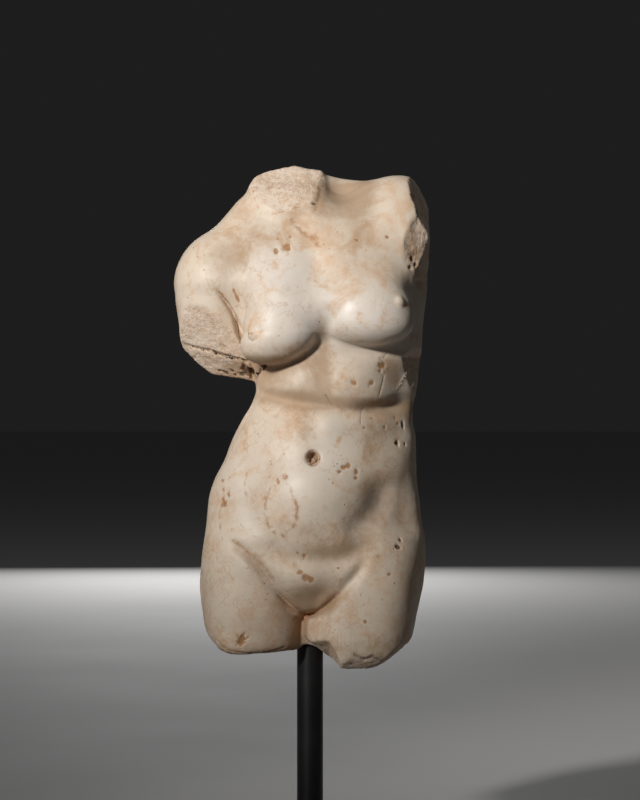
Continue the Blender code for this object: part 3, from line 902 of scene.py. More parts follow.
@dataclass
class Torso:
    """The marble: trunk, thighs, shoulders, breasts, the stumps and all that is broken."""

    post: Point                         # the highest corner of the post that stands in it
    air: float = 0.4                    # between the post and its socket
    triangles: int = 188_000
    mesher: Mesher = Mesher((-112, -80, 138), (101, 78, 549))
    soft: Valleys = Valleys()
    trunk: Trunk = Trunk((
        (189, -3, 2, 70, 78.5, 29, 44, 2.2),  # under the groin
        (201.5, -3, 1, 77, 84, 36, 54, 2.2),  # thigh tops
        (217, -3, 0, 79.5, 88.5, 44, 60, 2.2),  # seat
        (232.5, -2.5, 0, 79.5, 89.5, 48, 61, 2.2),  # widest hips
        (248, -1.5, 0, 79.5, 89.5, 50, 59, 2.2),  # hip joints
        (263, -1, 0, 78.5, 87, 51, 55, 1.95),  # hip bones
        (278.5, 0, 0, 78, 84.5, 51, 50, 1.88),  # upper hips
        (294, 1, 0, 74.5, 81.5, 50, 45, 1.88),  # flanks
        (309.5, 2.5, 0, 68.5, 79.5, 48, 41, 1.88),  # navel
        (325, 4.5, 0, 64.5, 77, 46.5, 39, 1.9),  # above the navel
        (340, 7.5, 0, 60, 71.5, 45, 38, 1.92),  # under the waist
        (353.5, 11, 0, 55.5, 68.5, 44, 38.5, 1.92),  # waist
        (363.5, 12.5, 0, 54, 69.5, 44, 40, 1.88),  # lowest ribs
        (375, 12.5, 1, 56, 71.5, 44, 42, 1.88),  # rib arch
        (394, 11.5, 2, 62.5, 74.5, 45, 45, 2),  # under the breasts
        (413.5, 9, 2, 66, 78, 45, 48, 2.3),  # breasts
        (432.5, 7, 3, 68.5, 82.5, 45, 49, 2.5),  # chest
        (452, 2.5, 4, 68, 88, 43, 49, 2.6),  # armpits
        (471, -2.5, 5, 65.5, 90, 39, 47, 2.6),  # upper chest
        (490.5, -6, 6, 60, 87, 33, 43, 2.5),  # shoulders
        (505.5, -9, 7, 48.5, 82.5, 27, 37, 2.4),  # collar bones
        (517.5, -11.5, 8, 38.5, 77, 22, 32, 2.3),  # neck root
    ), 9, 16)
    right_thigh: Trunk = Trunk((
        (124.5, -46, 2, 32.5, 41, 40, 42, 2.2),
        (163, -45.5, 2, 35.5, 40, 42, 46, 2.2),
        (186, -44.5, 2, 37.5, 39.5, 44, 50, 2.2),
        (209.5, -44, 2, 38.5, 38.5, 45, 53, 2.2),
        (232.5, -42.5, 2, 37.5, 38.5, 44, 54, 2.2),
        (255.5, -41, 2, 33, 37, 42, 50, 2.2),
    ), 2, 20)
    left_thigh: Trunk = Trunk((
        (124.5, 34, -5, 39.5, 37, 42, 42, 2.3),
        (163, 36, -5, 41.5, 40, 44, 46, 2.3),
        (186, 38.5, -4, 44, 42.5, 45, 50, 2.3),
        (209.5, 41, -3, 46, 43, 45, 53, 2.3),
        (232.5, 41.5, -2, 46, 44, 44, 54, 2.3),
        (255.5, 41.5, 0, 43, 41.5, 42, 50, 2.3),
    ), 2, 20)
    web: Limb = Limb((-2, 2, 120), (-2, 2, 216), 16, 18)
    right_seat: Egg = Egg((-40.8, 32, 220.8), (38, 33, 41))
    left_seat: Egg = Egg((38.5, 30, 224.7), (37, 33, 41))
    left_slopes: tuple[Limb, ...] = (Limb((-2, 18, 509.5), (30, 15, 502), 24, 23),
                                     Limb((30, 15, 502), (69.3, 8, 502), 23, 23))
    left_shoulder: Egg = Egg((69.3, 5, 492.7), (32, 30, 35))
    right_slope: Limb = Limb((-19.2, 12, 498.8), (-66.2, 6, 452.6), 25, 30)
    collar_bone: Limb = Limb((6.2, -15, 496), (63.1, -7, 507), 7, 8)
    right_chest: Limb = Limb((-64, -1, 452), (-16, -13, 447), 24.5, 27)
    left_chest: Limb = Limb((66, -2, 476), (22, -13, 455), 23, 27)
    neck_root: Limb = Limb((-20, 6, 478.8), (-18.5, 0, 555.8), 31, 28.5)
    right_shoulder: Egg = Egg((-70.2, 2, 440.3), (32, 30, 40))
    upper_arm: Limb = Limb((-75, 0, 440.3), (-70, 0, 355.6), 27, 28)
    right_breast: Egg = Egg((-20.5, -35.5, 406.5), (30, 28, 24), 2.2, 38, 0.42)
    left_breast: Egg = Egg((44, -34, 416.5), (35.5, 28, 20), 2.25, 34)
    front: Carving = Carving(Side.FRONT, (
        Swell(8, 2.5, 281, 34, 32.5),  # belly
        Swell(2, -7.5, 331, 13, 9),  # muscle right of the middle
        Swell(2, 17.5, 335.5, 14, 9),  # muscle left of it
        Swell(-5, 68, 272, 23, 27),  # hollow of the left flank
        Swell(-4, 70, 366, 17, 18),  # side of the left ribs
        Swell(-3, 64, 330, 17, 13),  # over the left hip
        Swell(-9, -44, 374, 17, 7),  # under the right breast
        Swell(-2.5, 50, 393, 24, 6),  # under the left breast
        Swell(3, -12.5, 368.5, 15.5, 11.5),  # right rib arch
        Swell(2.6, 36, 372.5, 20, 14),  # left rib arch
        Swell(-1.4, 9, 371, 9, 15.5),  # hollow under the breastbone
        Swell(4, 9, 428, 12, 18),  # between the breasts
        Swell(3, 80, 474, 10, 17),  # front of the left shoulder
        Swell(5, -2.5, 221.5, 23, 17),  # pubic mound
    ), (
        Furrow(4.2, 5.5, ((-51, 364), (-34.5, 359.5), (-19, 355.5), (11.5, 351), (31, 347),
                          (54, 350), (88.5, 357)), False),  # waist crease
        Furrow(3.2, 7.5, ((30, 348), (50, 347.5), (70, 348), (90, 350),
                          (115, 354))),  # its deep left part
        Furrow(4.6, 10.5, ((56, 300), (54.5, 291), (51, 279), (44, 267), (35, 258),
                           (23, 250.5))),  # left edge of the belly
        Furrow(2.5, 10, ((-46, 317), (-44.5, 278.5), (-40, 248))),  # right edge of it
        Furrow(3.5, 8, ((-50, 259.5), (-31, 242.5), (-7.5, 235), (19, 235.5), (38.5, 243),
                          (58, 260))),  # fold under the belly
        Furrow(1.4, 7, ((2.5, 350), (2, 336), (1.5, 322))),  # line above the navel
        Furrow(3.4, 4.6, ((-66, 251), (-56.5, 246), (-49, 241), (-41, 233.5), (-34, 223.5),
                          (-26, 213), (-18.5, 205), (-9, 195), (-2, 191.5))),  # right groin
        Furrow(3.4, 4.6, ((-9, 195), (-2, 191.5), (7.5, 195.5), (15, 202), (23, 209.5),
                          (30, 217.5), (39, 229.5), (45, 241))),  # left groin
        Furrow(3, 2.2, ((-30, 217), (-19, 204.5), (-9, 195.5), (-2, 192), (6, 194.5),
                          (15, 201.5), (27, 214))),  # its crisp foot
        Furrow(1.2, 7.5, ((-5.5, 492.5), (1.5, 467), (7.5, 440.5), (11.5, 402))),  # breastbone
    ))
    back: Carving = Carving(Side.BACK, (
        Swell(3.5, -7.5, 325, 8.5, 42.5),  # right loin
        Swell(3.5, 21, 326.5, 8.5, 42.5),  # left loin
        Swell(4.5, -41.5, 444, 17, 26, 18),  # right shoulder blade
        Swell(4.5, 40, 462, 17, 26, -18),  # left shoulder blade
        Swell(-2, -17, 265.5, 6, 6),  # right dimple over the seat
        Swell(-2, 21.5, 268, 6, 6),  # left dimple over the seat
    ), (
        Furrow(3.5, 6, ((-16, 505.5), (-7.5, 463.5), (1.5, 409.5), (6, 355.5), (4.5, 309.5),
                          (1.5, 263))),  # spine
        Furrow(2, 7, ((-20, 471), (-21.5, 432.5), (-37, 405.5))),  # inside the right blade
        Furrow(2, 7, ((14, 479), (20, 444), (40, 423.5))),  # inside the left blade
        Furrow(7, 4.5, ((2.5, 263), (-1, 232.5), (-3, 201.5), (-5.5, 155.5))),  # cleft
        Furrow(4, 4.5, ((-68, 190), (-50, 177), (-27, 173), (-4.5, 181.5))),  # right fold
        Furrow(4, 4.5, ((-6, 178.5), (19, 171), (46, 175.5), (68, 192.5))),  # left fold
        Furrow(1.6, 7, ((-51, 364), (-19, 357), (11.5, 354), (54, 354), (88.5, 357)), False),
    ))
    armpit: Furrow = Furrow(2.6, 2, ((-71, 440), (-67.8, 434.9), (-63.2, 429.5), (-59.4, 422.7),
                                       (-56.3, 416.6), (-54, 409), (-52.5, 401.3)))
    navel: Navel = Navel()
    beside_neck: Swell = Swell(10, 24, 518, 14, 15)
    neck_breaks: tuple[Break, ...] = (
        Break((-20, -8, 517.3), (0.03, -0.7, 0.71)),
        Break((-17, 6, 536.6), (-0.25, 0.1, 0.96), 2.5),
        Break((-2, 6, 536.2), (0.25, 0.1, 0.96), 2.5),
        Break((-46.5, 0, 521.5), (-0.84, 0, 0.54), 4),
        Break((8.5, 8.8, 532.7), (0.8, -0.45, 0.34)),
    )
    arm_breaks: tuple[Break, ...] = (
        Break((-73.7, -23.2, 417.1), (-0.373, -0.725, -0.579)),
        Break((-75, -4, 392.3), (-0.4, -0.56, -0.72)),
        Break((-68, 20, 376), (-0.1, 0.15, -0.98)),
        Break((-86, 20, 385), (-0.66, 0.1, -0.74)),
    )
    shoulder_breaks: tuple[Break, ...] = (
        Break((77.5, -21, 508.5), (0.885, -0.281, 0.371)),
        Break((91.2, 0, 470), (1, 0, 0), 2),
    )
    side_breaks: tuple[Break, ...] = (
        Break((88.4, -20, 477.8), (0.902, -0.353, -0.249), 1, Fade(0.6, 2, -1, 446)),
        Break((78, -24.5, 470), (0.56, -0.83, -0.06), 1, Fade(0.3, 2, -1, 462)),
        Break((69, -26.5, 376), (0.89, -0.45, 0.05), 1, Fade(0.9, 2, 0, 375, 13)),
    )
    right_thigh_breaks: tuple[Break, ...] = (
        Break((-46, 0, 163.6), (0.04, 0, -1), 6),
        Break((-79, 0, 174.5), (-0.7, 0, -0.7), 9),
    )
    left_thigh_breaks: tuple[Break, ...] = (
        Break((46, 0, 152.6), (0, 0, -1), 5),
        Break((6.2, 0, 167.6), (-0.65, 0, -0.76), 1.5),
        Break((48, -44, 160.5), (0.15, -0.66, -0.74), 2),
        Break((70.8, 0, 165.4), (0.62, -0.1, -0.78), 3),
    )
    thigh_notch: Break = Break((13, -42, 173.7), (-0.3, -0.42, -0.86), 1, Fade(1.5, 0, 1, 15))
    web_break: Break = Break((-2, 0, 170), (0, 0, -1), 1.5)
    wear: Grain = Grain(((24, 0.3), (9, 0.14), (3.5, 0.05)), 11)
    marks_near: float = 6.0             # how near the skin marks are worked out
    trace_gap: float = 2.5              # between the points of a line's trace
    walk: Point = (-78.0, 40.0, 1.5)    # along Y onto the front: from, to, and each step
    freshly_broken: Spot = (0.2, 0.95)  # how far inside the unbroken figure
    reaches: tuple[tuple[str, float], ...] = (("nook", 2.6), ("hollow", 9.0))   # felt so far out; used to darken hollows and corners, partly as brown soil staining, partly as painted shade
    marks_deep: Spot = (24.0, 2.0)      # where the stains and painted shade fade in along Y, towards the front
    dots: tuple[Dot, ...] = (
        Dot(-43, 405.5, 3.6, 4.2, Tone.CLEAN, ragged=0),  # right nipple
        Dot(68.2, 429.6, 3.9, 1.9, Tone.CLEAN, ragged=0),  # left nipple
        Dot(-18.7, 297.5, 2, -0.3, Tone.ROOT, ragged=0.7),  # at the tops of the belly's traces
        Dot(-23.8, 293.5, 1.6, -0.2, Tone.ROOT, ragged=0.7),
        Dot(-66, 294, 2.2, 0, Tone.ROOT, ragged=0.8),  # right hip
        Dot(-66.2, 286.5, 2.8, 0, Tone.ROOT, ragged=0.8),
        Dot(-65.8, 280.5, 2.9, 0, Tone.ROOT, ragged=0.8),
        Dot(-65, 275, 2.2, 0, Tone.ROOT, ragged=0.8),
        Dot(-18.8, 472, 3.6, -0.7, Tone.ROOT, ragged=0.7),  # upper chest
        Dot(-26, 468.5, 2.1, -0.5, Tone.ROOT, 1.8, 10),
        Dot(-24.5, 478, 1.4, -0.3, Tone.ROOT), Dot(-15, 479.5, 1.6, -0.4, Tone.ROOT),
        Dot(35.5, 477, 1.3, -0.3, Tone.ROOT), Dot(58.5, 479.5, 1.6, -0.4, Tone.ROOT),
        Dot(33.5, 368.5, 2.2, -0.8, Tone.ROOT), Dot(47, 368.5, 2.3, -0.5, Tone.ROOT),  # left ribs
        Dot(55.5, 382, 3, -0.6, Tone.ROOT, ragged=0.8), Dot(53, 377.5, 1.8, -0.4, Tone.ROOT),
        Dot(66.5, 323, 1.8, -1.7, stretch=1.4, turn=-20),  # left flank
        Dot(72.5, 322, 1.2, -1), Dot(71, 336.5, 1.4, -1.5, stretch=2.2),
        Dot(65, 342, 1.3, -0.5, Tone.ROOT), Dot(67, 337.5, 1.3, -0.5, Tone.ROOT),
        Dot(57, 335, 1.3, -0.5, Tone.ROOT), Dot(47, 342, 1.2, -0.4, Tone.ROOT),
        Dot(41, 334.5, 1.2, -0.3, Tone.ROOT),
        Dot(25, 304.5, 2.4, -0.6, Tone.ROOT), Dot(29, 306.5, 2, -0.5, Tone.ROOT),  # belly
        Dot(22, 302, 1.9, -0.5, Tone.ROOT),
        Dot(35, 301.5, 1.7, -0.5, Tone.ROOT, stretch=1.5), Dot(35, 297, 1.6, -0.5, Tone.ROOT),
        Dot(68.5, 249.5, 1.5, -1), Dot(67, 244, 1.8, -1.4),  # left hip
        Dot(-4.5, 238, 1.6, -0.5, Tone.ROOT, stretch=1.5, turn=-15),  # pubic mound
        Dot(-9.5, 240.5, 1.1, -0.3, Tone.ROOT), Dot(-3.5, 222.5, 3, -0.6, Tone.ROOT),
        Dot(-7, 226, 2.4, -0.5, Tone.ROOT), Dot(0.5, 220, 2.2, -0.5, Tone.ROOT),
        Dot(21.5, 229, 1.1, -0.2, Tone.ROOT), Dot(60, 224, 1.5, -0.4, Tone.ROOT),  # left thigh
        Dot(41.5, 189, 1.5, -0.3, Tone.ROOT),
        Dot(78, 463, 1.8, -1.8), Dot(80.5, 458.5, 1.6, -1.4),  # left shoulder's break
        Dot(76.5, 456.5, 1.8, -1.6),
        # painted shadow at the foot of the neck's edge
        Dot(2.5, 506, 1.8, -1.2),  # foot of the neck's edge
        Dot(-51.5, 173.5, 2.2, -1.4, Tone.ROOT, ragged=0.8),  # chip on the right thigh
        Dot(-60, 378, 1.6, -1.6), Dot(-58, 375, 1.5, -1.5),  # under the arm's break
        Dot(-70, 378.5, 2, -1.4, stretch=0.6, ragged=0.6),
        Dot(-65, 376.5, 1.8, -1.4, ragged=0.6), Dot(-53, 375, 2.4, -1.8, ragged=0.6),
        Dot(-46.5, 376.5, 5.2, -3.2, ragged=0.6), Dot(-50, 380.5, 2, -1.4, stretch=0.5, ragged=0.6),
    )
    lines: tuple[Line, ...] = (
        # a groove darkened with earth and with painted shadow of the overhanging facet
        Line(1.2, 2.4, ((-96, 398), (-87, 395.5), (-78.5, 394), (-69.5, 391), (-60, 388.5),
                        (-54, 387), (-47.5, 385)), strength=0.75),  # between the arm's facets
        # painted shade in the armpit crease
        Line(0.9, 0.5, ((-70, 438.6), (-64.7, 432.6), (-58.7, 423.5), (-55.7, 417.5),
                        (-54.2, 408.4), (-52.7, 402)), strength=0.64),  # in the armpit
        Line(2.2, 0.5, ((-72, 441), (-67.5, 436), (-62.5, 429),
                        (-58.5, 421.5)), Tone.ROOT, 0.5),  # the brown beside that
        # painted shade in the gap under the breast, with earth
        Line(1.8, 3.5, ((-34, 381.5), (-38.5, 378),
                        (-42.5, 371.5)), strength=0.7),  # between the arm's break and the ribs
        Line(0.8, 0.5, ((-46.8, 404), (-45.3, 401.2), (-42.8, 400), (-40.2, 400.9),
                        (-38.8, 403.2)), Tone.ROOT, 0.6),  # round the right nipple
        Line(1, 0.7, ((-55, 178), (-52, 173), (-46.5, 176.5)), Tone.ROOT, 0.8),  # star-shaped chip
        Line(0.9, 0.6, ((-49.5, 179.5), (-52, 173), (-55.5, 170.5)), Tone.ROOT, 0.8),
        Line(0.7, 0.5, ((53, 387), (57.5, 382.5), (53.5, 378),
                        (56, 373.5)), strength=0.55),  # cracks in the left ribs
        Line(0.7, -2.6, ((66.5, 364.5), (71.5, 372), (76, 381)), Tone.CLEAN),  # a sliver left
        Line(0.7, 0.4, ((57, 375.5), (54.5, 366), (52.5, 358.5)), strength=0.45),
        Line(0.6, 0.6, ((59, 392), (56, 387.5)), strength=0.5),
        # painted shadow beside the neck's broken edge
        Line(2.4, 0.8, ((8.2, 519), (7.4, 512), (5.6, 505.5),
                        (3.6, 500.5)), strength=0.36),  # foot of the neck's edge
        Line(1, 0.3, ((-43.5, 517), (-41.5, 506.5), (-36, 498), (-26, 497.5), (-18.5, 500),
                        (-8, 503)), Tone.ROOT, 0.45),  # round the neck's break
        Line(2, 0, ((-62, 230), (-55, 231), (-47, 228.5)), Tone.ROOT, 0.4),  # right thigh
        Line(1, 0.6, ((-70, 172), (-62, 166.5), (-52, 164.5), (-40, 163.5), (-30, 165),
                        (-19, 168)), strength=0.4),  # its broken rim
        Line(1.8, 1.2, ((34, 163.5), (38, 161), (43, 160),
                        (47, 162)), strength=0.55),  # the left thigh's rim
        Line(1, 0.5, ((47, 162), (56, 158), (63, 160)), strength=0.45),
        # painted shade over the navel's lit inner wall
        Line(2.6, 0, ((3, 313), (5.6, 309.5)), strength=0.5),  # in the navel
        Line(0.6, 0.5, ((41, 349.5), (38.5, 345), (38.5, 337.5)), strength=0.5),  # under the waist
        Line(2.4, 0, ((-20, 299), (-17.5, 293), (-12.5, 285), (-10, 277.5), (-9.5, 268.5),
                        (-12, 261), (-17, 257)), Tone.ROOT, 0.56),  # a root's trace, belly
        Line(2.4, 0, ((-29.5, 290), (-33, 280), (-34, 270), (-32, 262), (-26, 256),
                        (-18, 252.5)), Tone.ROOT, 0.5),
        Line(2.6, 0, ((-58.5, 249), (-51, 245), (-43, 237), (-34, 229),
                      (-28, 221)), Tone.ROOT, 0.5),  # in the right groin
        Line(1.6, 0, ((-69, 284), (-68.5, 262), (-66.5, 250)), Tone.ROOT, 0.45),  # right hip
        Line(1.6, 0, ((-48, 300), (-49.5, 290), (-47, 281)), Tone.ROOT, 0.5),
        Line(1.3, 0, ((-53, 262), (-46, 255), (-36, 250)), Tone.ROOT, 0.45),
        Line(0.6, 0.4, ((12, 359.5), (15, 354.5), (17.5, 351.5)), strength=0.55),  # across the waist
        Line(0.6, 0.3, ((21, 351), (26, 347.5), (31, 345.5)), strength=0.5),
        Line(1.3, 0, ((-58, 439.5), (-54.5, 431.5)), Tone.ROOT),  # beside the armpit
        Line(1.1, 0, ((47, 369), (42.5, 363)), Tone.ROOT, 0.7),  # left ribs
        Line(0.8, 0, ((33, 478), (38.5, 474.5), (43, 469)), Tone.ROOT, 0.7),  # left of the chest
        Line(3.2, 0, ((-14, 494), (-10, 487), (-3, 481), (3, 479),
                      (6, 473)), Tone.ROOT, 0.55),  # below the neck's break
        Line(1.2, 0, ((-44, 238), (-33, 222), (-24, 210), (-10, 196), (-1, 192.5),
                        (10, 197.5), (24, 211)), Tone.EARTH_AND_SHADE, 0.34),  # painted shade along the groin crease under the mound, with some dirt
    )
    # brown stains and painted shade (under the breasts, beside the neck, along creases, towards the
    # shaded flanks) and the places hands kept clean: strength, across, up, wide, tall, turn
    stains_and_shade: tuple[Swell, ...] = (
        Swell(0.55, -66, 466, 24, 18, 20),  # right shoulder
        Swell(0.6, 36, 484, 14, 26),  # inside the left shoulder
        Swell(0.3, -48, 492, 22, 14, -35),  # slope of the right shoulder
        # painted shade on the left ribs, darker towards the shaded flank
        Swell(0.7, 59, 383, 11, 10),  # left ribs
        # painted shade on the ribs under the breasts
        Swell(0.65, -14, 367, 42, 16),  # ribs
        # painted shade at the ribs' shaded left edge
        Swell(0.6, 63, 372, 7, 16),  # their left edge
        Swell(0.35, 62, 338, 18, 14),  # over the left hip
        # painted shadow: the breast and arm stump shade the ribs here
        Swell(1.5, -46, 377, 12, 9),  # between arm and ribs
        Swell(0.35, -27, 480, 26, 20),  # upper chest
        Swell(0.45, 8, 499, 22, 6, -8),  # under the neck
        # painted shadow cast by the neck stump into the hollow beside it
        Swell(1.6, 28, 514, 19, 13, -15),  # hollow beside the neck
        Swell(0.75, 9, 405, 7, 18),  # between the breasts
        # painted shadow under the right breast
        Swell(0.6, -5, 384, 22, 6, 20),  # under the right breast
        # painted shadow along the right breast's lowest rim
        Swell(1.1, -34, 383.5, 20, 5),  # its lowest rim
        Swell(0.65, 10, 372, 7, 16),  # hollow under the breastbone
        # darker along the waist crease: brown staining and painted shade in the crease
        Swell(1, 10, 354, 50, 5.5, -3),  # waist crease
        # painted shade where the crease runs into the shaded flank
        Swell(0.8, 66, 349, 24, 6),  # its left end
        Swell(0.35, 0, 335, 22, 14),  # above the navel
        Swell(0.15, 28, 337, 14, 12),  # left of that
        # painted shade inside the navel's hole
        Swell(1.5, 3, 310.5, 5, 5),  # in the navel
        Swell(0.25, 42, 292, 18, 20),  # left of the belly
        Swell(0.55, 43.5, 322, 7, 20),  # left of the middle
        Swell(0.3, -12, 291, 12, 11),  # top of the belly
        # painted shade where the belly turns downward
        Swell(0.5, -6, 259, 34, 9),  # foot of the belly
        Swell(0.4, -56, 457, 16, 14),  # front of the right shoulder
        # painted shadow of the neck reaching the crest of the left slope
        Swell(0.5, 44.5, 521.5, 12, 5),  # crest of the left slope
        # painted shadow at the foot of the neck's edge
        Swell(0.9, 5.5, 508, 4, 9),  # foot of the neck's edge
        Swell(0.4, -2, 354, 14, 7),  # middle of the waist
        Swell(0.4, 42, 255, 9, 9),  # left of the belly's foot
        # painted shade under the fold of the belly
        Swell(0.85, 18, 241, 42, 10, 4),  # under the belly
        Swell(0.5, 46, 274, 9, 20, 25),  # its left edge
        Swell(0.75, 2, 212, 20, 14),  # pubic mound
        # painted shade where the mound turns under
        Swell(0.8, 4, 200, 15, 8),  # its foot
        Swell(0.7, -43, 234, 26, 6.5, -42),  # right groin
        Swell(0.4, 28, 208, 30, 5, 42),  # left groin
        # painted shade between the thighs, with brown staining
        Swell(1, -9.5, 178, 6, 22),  # groove between the thighs
        Swell(0.55, 40, 168, 40, 10),  # foot of the left thigh
        Swell(0.6, -45, 167, 34, 7),  # foot of the right thigh
        Swell(0.9, -62, 376, 20, 5),  # foot of the arm's break
        Swell(0.8, 79, 476, 6, 24),  # edge of the left shoulder's break
    )
    handled: tuple[Swell, ...] = (
        Swell(0.7, -18, 412, 34, 32),  # right breast
        Swell(0.9, 42, 420, 42, 28),  # left breast
        Swell(0.9, -22, 456, 28, 24),  # middle of the chest
        Swell(0.5, 18, 326, 14, 26),  # beside the navel
        Swell(0.4, -50, 285, 30, 40),  # right hip
        Swell(0.45, 5, 296, 24, 28),  # belly
        Swell(0.2, -88, 430, 18, 26),  # upper arm
    )

    def __post_init__(self) -> None:
        """Finds where each dot and line lies on the front of the smooth figure."""
        self.spots = self.onto([(d.across, d.up) for d in self.dots])[:, 1]
        self.traces = [self.onto(resample(line.path, self.trace_gap)) for line in self.lines]

    def onto(self, spots: Sequence[Sequence[float]]) -> Array:
        """Walks back along +Y from in front of the figure to the first change of sign, and
        finds the crossing on the straight line between the two last values.

        Args:
            spots: places seen from the front, as (across, up).

        Returns:
            The places on the front of the figure; the nearest miss where none is hit.
        """
        spots = np.asarray(spots, float)
        deep = np.arange(*self.walk)
        p = np.empty((len(spots), len(deep), 3))
        p[..., 0], p[..., 2], p[..., 1] = spots[:, :1], spots[:, 1:], deep
        d = self.plain(p.reshape(-1, 3).astype(np.float32)).reshape(len(spots), len(deep))
        hit = np.where((d < 0).any(1), np.argmax(d < 0, axis=1), np.argmin(d, axis=1))
        hit = np.maximum(hit, 1)
        row = np.arange(len(spots))
        a, b = d[row, hit - 1], d[row, hit]
        t = np.where(b < 0, a / np.where(b < 0, a - b, 1.0), 1.0)
        deep = deep[hit - 1] + t * self.walk[2]
        return np.stack([spots[:, 0], deep, spots[:, 1]], 1).astype(np.float32)

    @staticmethod
    def broken(d: Array, p: Array, breaks: Iterable[Break], on: bool) -> Array:
        """Cuts a limb by its breaks, one after another, or leaves it whole.

        Args:
            d: distances to the limb.
            p: places.
            breaks: the breaks that belong to it.
            on: whether they are cut.

        Returns:
            Distances to what is left.
        """
        for face in breaks if on else ():
            d = face.cut_from(d, p)
        return d

    def hips(self, p: Array, on: bool) -> Array:
        """Trunk, thighs pressed together with a web between them, and the seat, joined.

        Args:
            p: places.
            on: whether the breaks are cut.

        Returns:
            Distances to the lower body.
        """
        right = self.broken(self.right_thigh.distance(p), p, self.right_thigh_breaks, on)
        left = self.broken(self.left_thigh.distance(p), p, self.left_thigh_breaks, on)
        left = self.broken(left, p, (self.thigh_notch,), on)
        web = self.broken(self.web.distance(p), p, (self.web_break,), on)
        thighs = join(join(right, left, self.soft.thighs), web, self.soft.web)
        seat = join(self.right_seat.distance(p), self.left_seat.distance(p), self.soft.seats)
        in_groin = ramp(p[:, 2], *self.soft.groin_up) * ramp(p[:, 1], *self.soft.groin_deep)
        soft = blend(self.soft.thigh_tops, in_groin)
        return join(join(self.trunk.distance(p), thighs, soft), seat, self.soft.seat)

    def shoulders(self, p: Array) -> Array:
        """The left shoulder, the slopes from the neck, the chest muscles and a collar bone.

        Args:
            p: places.

        Returns:
            Distances to the upper body without neck and arm.
        """
        soft = self.soft
        slope = join(*(limb.distance(p) for limb in self.left_slopes), soft.slopes)
        left = join(slope, self.left_shoulder.distance(p), soft.shoulder)
        both = join(left, self.right_slope.distance(p), soft.across_slopes)
        chest = join(self.right_chest.distance(p), self.left_chest.distance(p), soft.chest)
        return join(join(both, self.collar_bone.distance(p), soft.collar_bone), chest, soft.chest)

    def plain(self, p: Array, on: bool = True) -> Array:
        """The carved figure without its small marks: every part joined, then the relief,
        the breasts, the arm, the armpit, the navel and the left shoulder's break.

        Args:
            p: places.
            on: whether the breaks are cut.

        Returns:
            Distances, negative inside the marble.
        """
        soft, up = self.soft, p[:, 2]
        neck = self.broken(self.neck_root.distance(p), p, self.neck_breaks, on)
        body = join(self.hips(p, on), self.shoulders(p), soft.trunk)
        body = body + ramp(p[:, 1], *soft.beside_neck_deep) * self.beside_neck.level(p)
        d = join(body, neck, blend(soft.neck, ramp(p[:, 0], *soft.neck_across)))
        d = d - self.front.level(p) - self.back.level(p)
        d = self.broken(d, p, self.side_breaks, on)
        for breast, inward in zip((self.right_breast, self.left_breast), soft.inward):
            across, _, height = breast.centre
            rise = (inward * (p[:, 0] - across) + soft.breast_up * (up - height)) / soft.breast_span
            d = join(d, breast.distance(p), blend(soft.breast, ramp(rise, *soft.breast_rise)))
        arm = join(self.right_shoulder.distance(p), self.upper_arm.distance(p), soft.arm)
        arm = self.broken(arm, p, self.arm_breaks, on)
        d = join(d, arm, blend(soft.armpit, ramp(up, *soft.armpit_up)))
        d = d + Side.FRONT.share(p) * (self.armpit.level(p) + self.navel.level(p))
        return self.broken(d, p, self.shoulder_breaks, on)

    def distance(self, p: Array) -> Array:
        """The figure with its wear, pits, knobs and cracks, and the socket drilled in.

        Args:
            p: places.

        Returns:
            Distances, negative inside the marble.
        """
        d = self.plain(p)
        near = np.abs(d) < self.marks_near
        q = p[near]
        h = self.wear(q)
        for dot, deep in zip(self.dots, self.spots):
            h += dot.height * dot.level(q, deep)
        for line, trace in zip(self.lines, self.traces):
            if line.depth:
                h -= line.depth * line.level(q, trace)
        d[near] -= h
        hole = np.hypot(p[:, 0], p[:, 1]) - (self.post[0] + self.air)
        hole = cut(hole, p[:, 2] - (self.post[2] + self.air), self.soft.socket)
        return cut(d, -hole, self.soft.socket)

    def marks(self, p: Array, n: Array) -> dict[str, Array]:
        """What the stone holds at each point of its skin: how freshly broken it is, how deep in a
        hollow at two sizes (which later lays brown stain and painted shade into hollows and corners),
        how much earth and painted shade in creases, root trace, and brown stain with painted shade it
        holds, and how clean it was kept by hands.

        Args:
            p: points of the skin.
            n: their outward directions.

        Returns:
            The named shares, each from 0 to 1.
        """
        ask = self.mesher.ask
        unbroken = ask(lambda q: self.plain(q, False), p)
        found = {"broken": ramp(-unbroken, *self.freshly_broken)}
        for name, reach in self.reaches:
            found[name] = 1.0 - ask(self.distance, p + n * reach) / reach
        held = {tone: np.zeros(len(p), np.float32) for tone in Tone}
        for dot, deep in zip(self.dots, self.spots):
            np.maximum(held[dot.tone], dot.level(p, deep), out=held[dot.tone])
        for line, trace in zip(self.lines, self.traces):
            share = line.strength * line.level(p, trace)
            np.maximum(held[line.tone], share, out=held[line.tone])
        front = ramp(p[:, 1], *self.marks_deep)
        # earth in pits, and lines and dots of painted shade in creases and beside edges
        found["earth"], found["root"] = held[Tone.EARTH_AND_SHADE], held[Tone.ROOT]
        # brown stains together with painted shade: under the breasts, beside the neck, along creases,
        # towards the shaded flanks
        found["stain_and_shade"] = front * sum(w.level(p) for w in self.stains_and_shade)
        found["clean"] = front * sum(c.level(p) for c in self.handled)
        return {name: np.clip(found[name], 0.0, 1.0) for name in MARKS}

